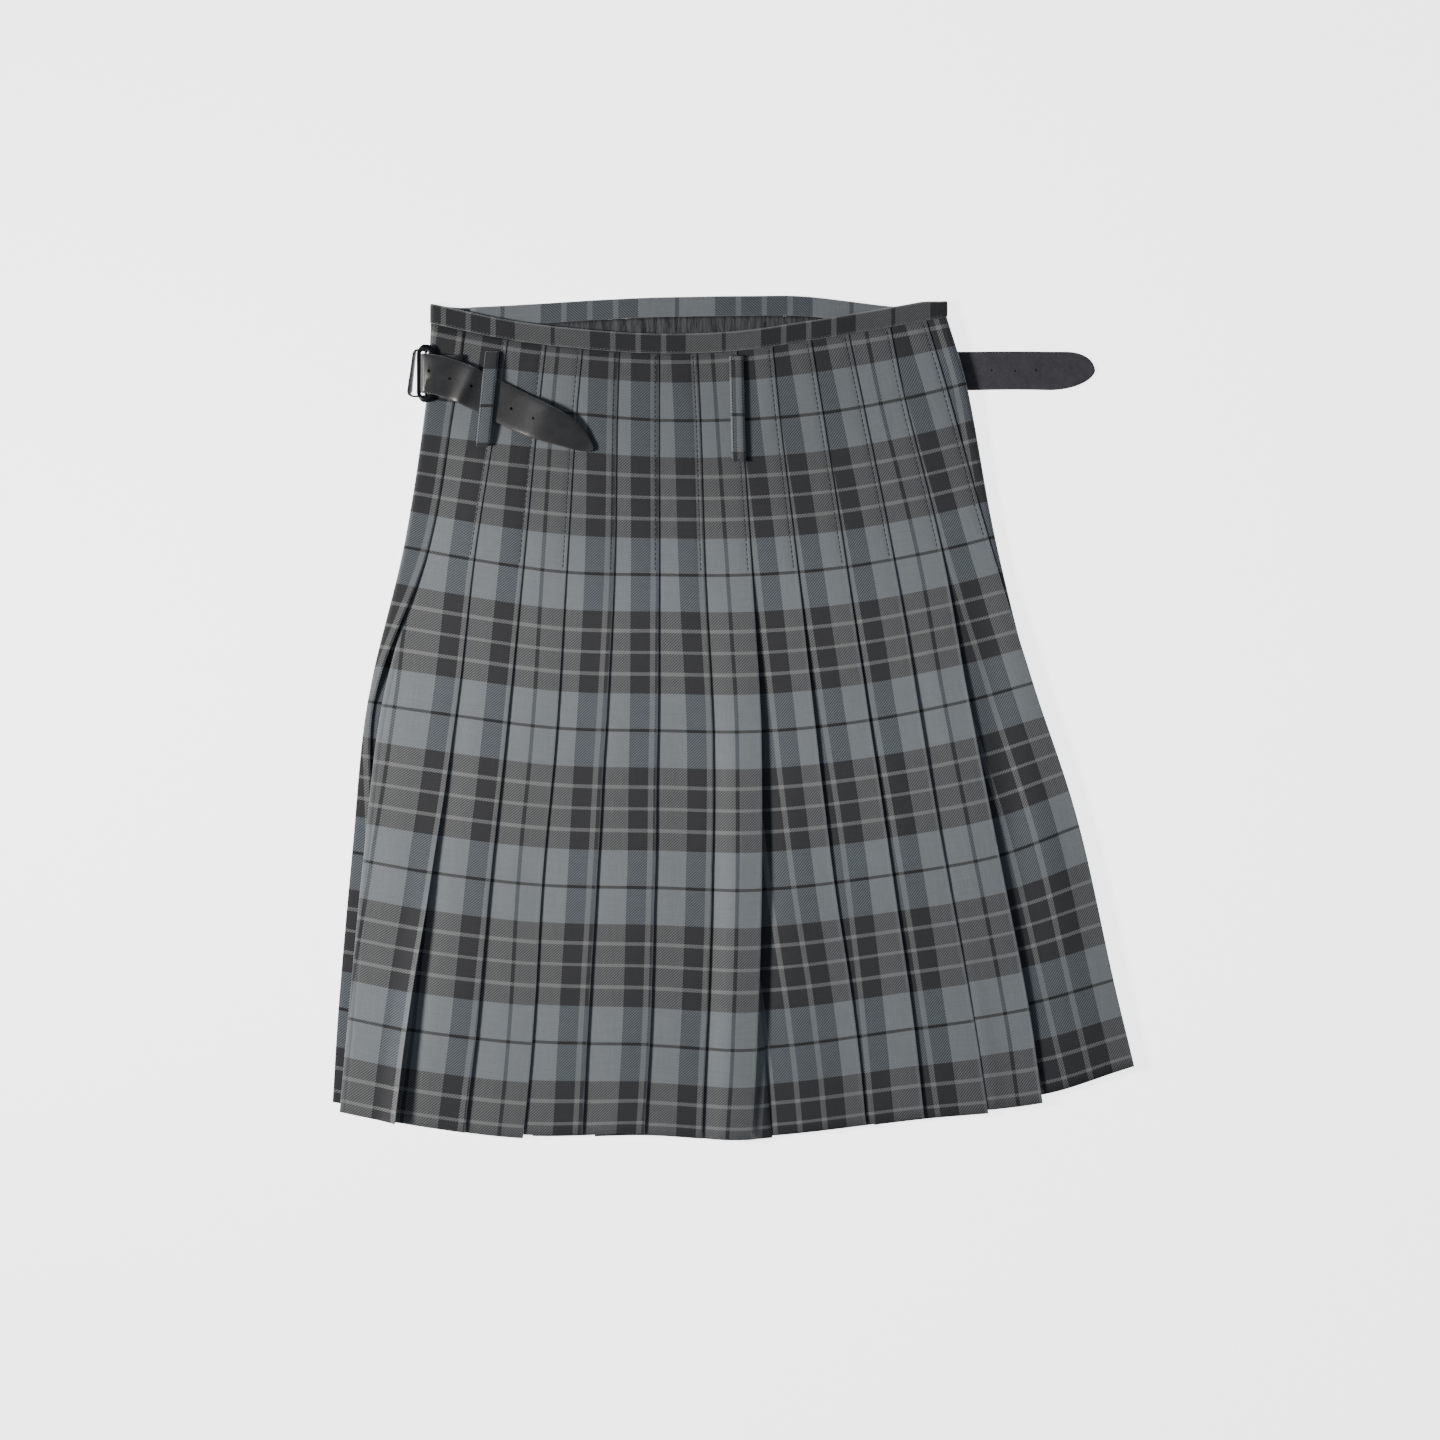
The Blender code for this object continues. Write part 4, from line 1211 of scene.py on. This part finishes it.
strap = {
    # centre line and height from the tail to the buckle, and the tail's upper and lower half widths
    "tail": [
        (-106.8, 204.0, 11.3, 0.8, 0.8), (-107.6, 204.6, 11.3, 2.8, 2.0),
        (-109.5, 205.5, 11.3, 4.8, 3.4), (-113.0, 207.5, 11.3, 7.4, 5.2),
        (-117.0, 209.5, 12.3, 9.7, 6.7), (-126.0, 214.5, 13.8, 13.0, 9.0),
        (-133.0, 218.0, 15.2, 14.4, 10.8), (-139.0, 221.0, 16.1, 15.0, 12.2),
        (-144.0, 223.5, 16.4, 15.0, 13.2), (-148.0, 225.5, 16.0, 15.0, 13.8),
        (-151.0, 227.0, 15.2, 15.0, 14.2), (-154.0, 228.5, 14.2, 15.0, 14.5),
        (-158.0, 230.5, 13.1, 15.0, 14.8)],
    "rows": [
        (-163.0, 233.0, 12.2), (-170.0, 236.5, 11.6), (-179.0, 241.0, 11.2),
        (-186.0, 244.6, 11.2), (-191.0, 247.2, 11.3), (-195.5, 249.6, 11.8),
        (-199.0, 251.3, 12.9), (-201.5, 252.4, 14.4), (-203.5, 253.3, 14.9),
        (-206.0, 254.4, 14.0), (-209.0, 255.6, 13.0), (-213.0, 257.1, 12.7),
        (-217.0, 258.5, 13.1), (-221.0, 259.7, 13.5), (-225.0, 260.8, 13.9),
        (-229.0, 261.6, 14.1), (-233.0, 262.2, 14.0)],
    "wall": 1.9,
    "half": 15.0,
    "barX": -234.2, "barY": 262.5, "barZ": 10.0,
    "turnRadius": 3.4,
    "holes": [(-231.5, 264.0), (-215.8, 258.0), (-199.3, 252.4), (-169.0, 235.5), (-152.0, 227.8)],
    "holeRadius": 1.15,
    "holeDepth": 0.85,
}


def barTurn(radius, angles, half, flip=1):
    # stations round the buckle's bar
    side = Vector((0.0, half * flip, 0.0))
    stations = []
    for angle in angles:
        out = Vector((math.cos(math.radians(angle)), 0.0, math.sin(math.radians(angle))))
        spot = Vector((strap["barX"], strap["barY"], strap["barZ"])) + out * radius
        stations.append((spot + side, spot - side, out * flip))
    return stations


def makeLeftStrap():
    stations = []
    rows = strap["tail"] + [row + (strap["half"], strap["half"]) for row in strap["rows"]]
    for k, (x, y, z, upper, lower) in enumerate(rows):
        ahead, behind = rows[min(k + 1, len(rows) - 1)], rows[max(k - 1, 0)]
        along = Vector((ahead[0] - behind[0], ahead[1] - behind[1], 0.0)).normalized()
        across = Vector((along.y, -along.x, 0.0))
        centre = Vector((x, y, z))
        up = Vector((-(ahead[2] - behind[2]) / (ahead[0] - behind[0]), 0.0, 1.0))
        stations.append((centre + across * upper, centre - across * lower, up))
    stations += barTurn(strap["turnRadius"], range(90, 271, 15), strap["half"])
    side = Vector((0.0, strap["half"], 0.0))
    spot = Vector((foldAt("left", 48.0) - 0.9, strap["barY"], strap["barZ"] - strap["turnRadius"]))
    stations.append((spot + side, spot - side, -upwards))
    piece = bandPiece("strapLeft", stations, strap["wall"], materials["leather"])
    pits = []
    for x, y in strap["holes"]:
        nearest = min(rows, key=lambda row: abs(row[0] - x))
        pits.append((x, y, nearest[2] - strap["holeDepth"]))
    return punchHoles(piece, pits, strap["holeRadius"], 18.0)


def punchHoles(piece, places, radius, high):
    # round holes from each place's height up to high
    work = bmesh.new()
    for x, y, low in places:
        made = bmesh.ops.create_cone(work, cap_ends=True, segments=16, radius1=radius * mm,
                                     radius2=radius * mm, depth=(high - low) * mm)
        bmesh.ops.translate(work, verts=made["verts"], vec=Vector((x, y, (low + high) / 2)) * mm)
    punch = newPiece("punch", [], [])
    work.to_mesh(punch.data)
    work.free()
    cut = piece.modifiers.new("holes", "BOOLEAN")
    cut.operation = "DIFFERENCE"
    cut.solver = "EXACT"
    cut.object = punch
    piece = settlePiece(piece)
    bpy.data.objects.remove(punch, do_unlink=True)
    piece.data.set_sharp_from_angle(angle=math.radians(50))
    return piece


strapLeft = makeLeftStrap()

chape = {"path": [(-206.0, 10.8), (-213.5, 10.8), (-220.5, 10.0), (-229.0, 8.8)],
         "radius": 1.9, "wall": 1.1, "half": 14.0}


def makeChape():
    side = Vector((0.0, chape["half"], 0.0))
    spots = [Vector((x, strap["barY"], z)) for x, z in chape["path"]]
    stations = [(spot - side, spot + side, upwards) for spot in spots]
    stations += barTurn(chape["radius"], range(270, 89, -15), chape["half"], -1)
    return bandPiece("buckleChape", stations, chape["wall"], materials["leather"])


buckleChape = makeChape()

buckle = {
    "left": -239.6, "right": -229.6, "half": 19.3, "corner": 4.4, "tilt": 0.1, "barRadius": 1.0,
    "limb": 1.6, "arms": 2.8,      # half widths of the outer limb and of the arms
    "section": [(1.0, -0.9), (1.0, 0.2), (0.6, 0.8), (-0.6, 0.8), (-1.0, 0.2), (-1.0, -0.9)],
    # X, Y and width share of the thin bar outside the frame, and how far it lies below the bar
    "outerBar": [(-240.0, 280.4, 0.6), (-242.0, 280.0, 0.7), (-243.0, 278.0, 1.0),
                 (-243.8, 271.0, 1.1), (-244.8, 263.0, 1.2), (-245.8, 255.5, 1.35),
                 (-246.5, 248.9, 1.5), (-246.5, 246.8, 1.2), (-245.4, 245.4, 0.6),
                 (-243.2, 244.9, 0.5), (-240.0, 244.9, 0.5)],
    "outerDrop": 0.4,
    # a flat that looks dark and a bright facet that looks up to the left
    "barSection": [(1.4, -0.9), (1.4, 0.2), (-0.4, 0.2), (-1.3, 0.6), (-1.4, 0.5), (-1.4, -0.9)],
}


def sweptWire(name, points, section, material, widths=None, closed=False):
    # a rod along points, with this section and these widths
    verts = []
    count = len(points)
    for k, point in enumerate(points):
        before = points[(k - 1) % count] if closed or k else point
        after = points[(k + 1) % count] if closed or k < count - 1 else point
        run = (Vector(after) - Vector(before)).normalized()
        side = run.cross(upwards).normalized()
        width = widths[k] if widths else 1.0
        for out, rise in section:
            verts.append((Vector(point) + side * out * width + Vector((0, 0, rise))) * mm)
    piece = newPiece(name, verts, tubeFaces(count, len(section), closed), material)
    turnOutwards(piece.data)
    polygons = piece.data.polygons
    polygons.foreach_set("use_smooth", [len(face.vertices) == 4 for face in polygons])
    piece.data.set_sharp_from_angle(angle=math.radians(40))
    return piece


def makeBuckle():
    corner, left = buckle["corner"], buckle["left"]
    farX, nearX, y = buckle["right"] - corner, left + corner, buckle["half"] - corner
    points, widths = [], []
    for quarter, (cx, cy) in enumerate([(farX, y), (nearX, y), (nearX, -y), (farX, -y)]):
        for i in range(9):
            angle = math.radians(90 * quarter + 90 * i / 8)
            x = cx + corner * math.cos(angle)
            points.append((x, strap["barY"] + (cy + corner * math.sin(angle)),
                           strap["barZ"] + buckle["tilt"] * (x - strap["barX"])))
            outer = ease(left + 4.0, left + 0.5, x)
            widths.append(mixTo(buckle["arms"], buckle["limb"], outer))
    ring = sweptWire("buckleFrame", points, buckle["section"], materials["darkMetal"], widths, True)
    outerZ = strap["barZ"] - buckle["outerDrop"]
    outer = sweptWire("buckleOuterBar", [(x, y, outerZ) for x, y, width in buckle["outerBar"]],
                      buckle["barSection"], materials["metal"],
                      [width for x, y, width in buckle["outerBar"]])
    reach = buckle["half"] - buckle["limb"]
    circle = [(buckle["barRadius"] * math.cos(a), buckle["barRadius"] * math.sin(a))
              for a in [math.pi * i / 7 for i in range(14)]]
    bar = sweptWire("buckleBar", [(strap["barX"], strap["barY"] + reach * t, strap["barZ"])
                                  for t in (-1.0, -0.98, 0.0, 0.98, 1.0)],
                    circle, materials["darkMetal"])
    return ring, bar, outer


buckleFrame, buckleBar, buckleOuterBar = makeBuckle()

rightStrap = {
    "y": 265.0, "half": 14.8, "wall": 1.7, "z": 0.9,
    "straight": 240.0, "tip": 277.0,     # the end starts to round at straight
    "tipSteps": (0.05, 0.15, 0.25, 0.35, 0.45, 0.55, 0.65, 0.74, 0.82, 0.88, 0.93, 0.97, 0.99, 1.0),
    "rootLengths": (24.0, 56.0),         # where its edges come out from under the right side
    "holes": [(198.0, 265.5, 1.0), (216.0, 265.0, 1.0), (232.0, 265.5, 1.0)],
    "holeRadius": 0.9,
}


def makeRightStrap():
    y, half, z = rightStrap["y"], rightStrap["half"], rightStrap["z"]

    def station(upperX, lowerX, upperY, lowerY):
        return Vector((upperX, upperY, z)), Vector((lowerX, lowerY, z)), upwards

    roots = [foldAt("right", length) - apron["tuck"] + 0.3 for length in rightStrap["rootLengths"]]
    stations = [station(*roots, y + half, y - half)]
    for x in (185.0, 200.0, 215.0, 230.0):
        bow = 0.5 * math.sin((x - 185) / 60.0 * math.pi)
        stations.append(station(x, x, y + half + bow * 0.5, y - half + bow))
    for t in rightStrap["tipSteps"]:
        x = mixTo(rightStrap["straight"], rightStrap["tip"], t)
        over = max(0.6, half * math.sqrt(1 - max(0.0, (t - 0.35) / 0.65) ** 2.4))
        under = max(0.6, half * (1 - t ** 2.2) ** 0.62)
        stations.append(station(x, x, y + over, y - under))
    piece = bandPiece("strapRight", stations, rightStrap["wall"], materials["suede"])
    return punchHoles(piece, rightStrap["holes"], rightStrap["holeRadius"], 5.0)


strapRight = makeRightStrap()
print("straps and buckle made")


# Stitching: Geometry Nodes set small stitches along guide lines

stitching = {    # in millimetres: stitch length, gap and thread radius
    "fell": (3.0, 0.7, 0.33),
    "band": (2.0, 0.8, 0.2),
    "loops": (1.9, 0.4, 0.3),
    "seed": 3,
    "above": 0.05,
    "bandInset": 1.6,
    "loopInset": 1.5,
    "loopEnds": (0.7, 1.6, 6.5, 7.4),
}


def stitchTree():
    tree = bpy.data.node_groups.new("stitchLine", "GeometryNodeTree")
    sockets = {}
    for label, kind in (("Geometry", "Geometry"), ("Stitch Length", "Float"),
                        ("Stitch Gap", "Float"), ("Thread Radius", "Float"),
                        ("Material", "Material"), ("Seed", "Int")):
        sockets[label] = tree.interface.new_socket(label, in_out="INPUT",
                                                   socket_type="NodeSocket" + kind).identifier
    tree.interface.new_socket("Geometry", in_out="OUTPUT", socket_type="NodeSocketGeometry")
    ins = addNode(tree, "NodeGroupInput").outputs
    outs = addNode(tree, "NodeGroupOutput").inputs
    curve = addNode(tree, "GeometryNodeMeshToCurve", Mesh=ins["Geometry"]).outputs[0]
    pitch = plus(tree, ins["Stitch Length"], ins["Stitch Gap"])
    points = addNode(tree, "GeometryNodeResampleCurve", {"mode": "LENGTH"},
                     Curve=curve, Length=pitch)
    along = addNode(tree, "GeometryNodeInputTangent").outputs[0]
    align = addNode(tree, "FunctionNodeAlignRotationToVector", {"axis": "Z"}, Vector=along)
    ball = addNode(tree, "GeometryNodeMeshUVSphere", Segments=6, Rings=5, Radius=1.0)
    size = addNode(tree, "ShaderNodeCombineXYZ", X=ins["Thread Radius"], Y=ins["Thread Radius"],
                   Z=times(tree, ins["Stitch Length"], 0.5))
    shape = addNode(tree, "GeometryNodeTransform", Geometry=ball.outputs["Mesh"],
                    Scale=size.outputs[0])
    vary = addNode(tree, "FunctionNodeRandomValue", {"data_type": "FLOAT_VECTOR"},
                   Min=(0.9, 0.9, 0.86), Max=(1.1, 1.1, 1.06), Seed=ins["Seed"])
    place = addNode(tree, "GeometryNodeInstanceOnPoints", Points=points.outputs[0],
                    Instance=shape.outputs[0], Rotation=align.outputs[0], Scale=vary.outputs[0])
    realize = addNode(tree, "GeometryNodeRealizeInstances", Geometry=place.outputs[0])
    paint = addNode(tree, "GeometryNodeSetMaterial", Geometry=realize.outputs[0],
                    Material=ins["Material"])
    wire(tree, paint.outputs[0], outs[0])
    return tree, sockets


stitchGroup, stitchSockets = stitchTree()


def stitchPiece(name, lines, material, sizes):
    verts, edges = [], []
    for line in lines:
        first = len(verts)
        verts += [Vector(point) * mm for point in line]
        edges += [(first + i, first + i + 1) for i in range(len(line) - 1)]
    piece = newPiece(name, verts, [], edges=edges)
    modifier = piece.modifiers.new("stitches", "NODES")
    modifier.node_group = stitchGroup
    for label, size in zip(("Stitch Length", "Stitch Gap", "Thread Radius"), sizes):
        modifier[stitchSockets[label]] = size * mm
    modifier[stitchSockets["Material"]] = material
    modifier[stitchSockets["Seed"]] = stitching["seed"]
    piece = settlePiece(piece)
    piece.data.polygons.foreach_set("use_smooth", [True] * len(piece.data.polygons))
    return piece


def topAt(name, length, inset):
    # a point on the outer face of the cloth, this far left of a fold
    x = foldAt(name, length) - inset
    faceColumns = len(faceSteps) + len(edgeInsets)
    perPleat = (len(hiddenSteps) + faceColumns + len(foldAngles) + len(returnSteps)
                + len(innerTurn))
    start = (len(startInsets) + len(firstTurn) + folds.index(name) * perPleat + len(hiddenSteps))
    face = backRow(length)[start:start + faceColumns + 1]
    above = cloth["wall"] / 2 + stitching["above"]
    for a, b in zip(face, face[1:]):
        if a[0] <= x <= b[0]:
            t = (x - a[0]) / (b[0] - a[0])
            return (x, mixTo(a[1], b[1], t), mixTo(a[2], b[2], t) + above)
    return (x, face[-1][1], face[-1][2] + above)


fellLengths = [3.0 + (cloth["liftStart"] - 6.0) * i / 24 for i in range(25)]
fellLines = [[topAt(name, length, cloth["stitchInset"]) for length in fellLengths]
             for name in folds]
fellStitches = stitchPiece("fellStitches", fellLines, materials["thread"], stitching["fell"])

bandLine = [(x, backY(0.0, x) + band["gap"] + stitching["bandInset"],
             band["backZ"] + band["wall"] / 2 + 0.02)
            for x in [mixTo(-226.0, 159.0, i / 80) for i in range(81)]]
bandStitches = stitchPiece("bandStitches", [bandLine], materials["lightThread"], stitching["band"])


def loopLine(key, side):
    points = []
    for i in range(31):
        x, y, z = loopSpot(key, 0.02 + 0.96 * i / 30)
        points.append((x + side * (loops["width"] / 2 - stitching["loopInset"]), y,
                       z + 0.42 * loops[key]["wall"]))
    return points


def loopEndLine(key, back):
    x, y = loops[key]["bottom"]
    wall, half = loops[key]["wall"], loops["width"] / 2
    z = loops["restZ"] + 0.5 * wall + 0.1
    return [(x - half + 2 * half * i / 8, y + back, z - 0.35 * abs(i - 4) / 4 * wall)
            for i in range(9)]


loopLines = [loopLine(key, side) for key in ("left", "centre") for side in (-1, 1)]
loopLines += [loopEndLine(key, back) for key in ("left", "centre")
              for back in stitching["loopEnds"]]
loopStitches = stitchPiece("loopStitches", loopLines, materials["thread"], stitching["loops"])
print("stitches made")


# What each piece stands for

def areaOf(rows):
    total = 0.0
    for upper, lower in zip(rows, rows[1:]):
        for i in range(len(upper) - 1):
            a, b, c, d = (Vector(p[:3]) for p in (upper[i], upper[i + 1], lower[i + 1], lower[i]))
            total += ((c - a).cross(d - b)).length / 2
    return total * mm * mm


def widthOf(row):
    return sum((Vector(b[:3]) - Vector(a[:3])).length for a, b in zip(row, row[1:])) * mm


def declareSheet(piece, rows, length):
    width = max(widthOf(row) for row in rows)
    area = min(areaOf(rows), width * length)
    print(piece.name, "cut", round(width, 3), "x", round(length, 3), "m, area", round(area, 4))


standsFor = [
    (pleatedBack, ["pleated_back"], "tartan"),
    (overApron, ["over_apron"], "tartan"),
    (underApron, ["under_apron"], "tartan"),
    (lining, ["lining"], "lining"),
    (waistband, ["waistband"], "tartan"),
    (beltLoopLeft, ["belt_loop_left"], "tartan"),
    (beltLoopCentre, ["belt_loop_centre"], "tartan"),
    (strapLeft, ["strap_left"], "leather"),
    (buckleChape, ["buckle_chape"], "leather"),
    (strapRight, ["strap_right"], "suede"),
    (buckleFrame, ["buckle_frame"], "buckle"),
    (buckleBar, ["buckle_bar"], "buckle"),
    (buckleOuterBar, [], "buckle"),
    (fellStitches, [], "tartan"),
    (bandStitches, [], "tartan"),
    (loopStitches, [], "tartan"),
]
for piece, nodes, slotName in standsFor:
    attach(piece, "root")
    if nodes:
        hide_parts(*nodes)

hemLength = levels[6] * mm
declareSheet(pleatedBack, pleatedRows, hemLength)
declareSheet(overApron, overRows, hemLength)
declareSheet(underApron, underRows, hemLength)
declareSheet(lining, liningGrid, liningLook["drop"] * mm)


# Table, light and camera

studio = {
    "floor": (0.95, 0.95, 0.95, 1),
    "floorGlow": 3.0,
    "world": (0.74, 0.86, 1.0, 1),
    "worldStrength": 0.22,
    "lampPlace": (-1.8, 0.0, 1.35),
    "lampAim": (-0.07, 0.05, 0.0),
    "lampSize": 0.5,
    "lampPower": 9.2,
    "lampSpread": 68.0,
    "lampColour": (1.0, 0.98, 0.94),
    "cameraHeight": 3.2,
    "frameWidth": 1.1016,
    "centre": (-0.0099, -0.0019),
}


def makeFloor():
    size, z = 6.0, -0.0002
    material, tree, shader = newMaterial("paleTable")
    setShader(tree, shader, Base_Color=studio["floor"], Roughness=0.9, Emission_Color=(1, 1, 1, 1),
              Emission_Strength=studio["floorGlow"])
    corners = [(-size, -size, z), (size, -size, z), (size, size, z), (-size, size, z)]
    newPiece("floor", corners, [(0, 1, 2, 3)], material)


def makeLamp():
    data = bpy.data.lights.new("windowLight", "AREA")
    data.shape = "DISK"
    data.size = studio["lampSize"]
    data.energy = studio["lampPower"]
    data.color = studio["lampColour"]
    data.spread = math.radians(studio["lampSpread"])
    lamp = bpy.data.objects.new("windowLight", data)
    lamp.location = studio["lampPlace"]
    aim = Vector(studio["lampPlace"]) - Vector(studio["lampAim"])
    lamp.rotation_euler = aim.to_track_quat("Z", "Y").to_euler()
    bpy.context.scene.collection.objects.link(lamp)


def makeStudio():
    makeFloor()
    makeLamp()
    world = bpy.data.worlds.new("softRoom")
    world.use_nodes = True
    back = world.node_tree.nodes["Background"]
    back.inputs["Color"].default_value = studio["world"]
    back.inputs["Strength"].default_value = studio["worldStrength"]
    bpy.context.scene.world = world
    data = bpy.data.cameras.new("overhead")
    data.sensor_width = 36.0
    data.lens = data.sensor_width * studio["cameraHeight"] / studio["frameWidth"]
    camera = bpy.data.objects.new("overhead", data)
    camera.location = (*studio["centre"], studio["cameraHeight"])
    bpy.context.scene.collection.objects.link(camera)
    bpy.context.scene.camera = camera


makeStudio()
print("studio made")
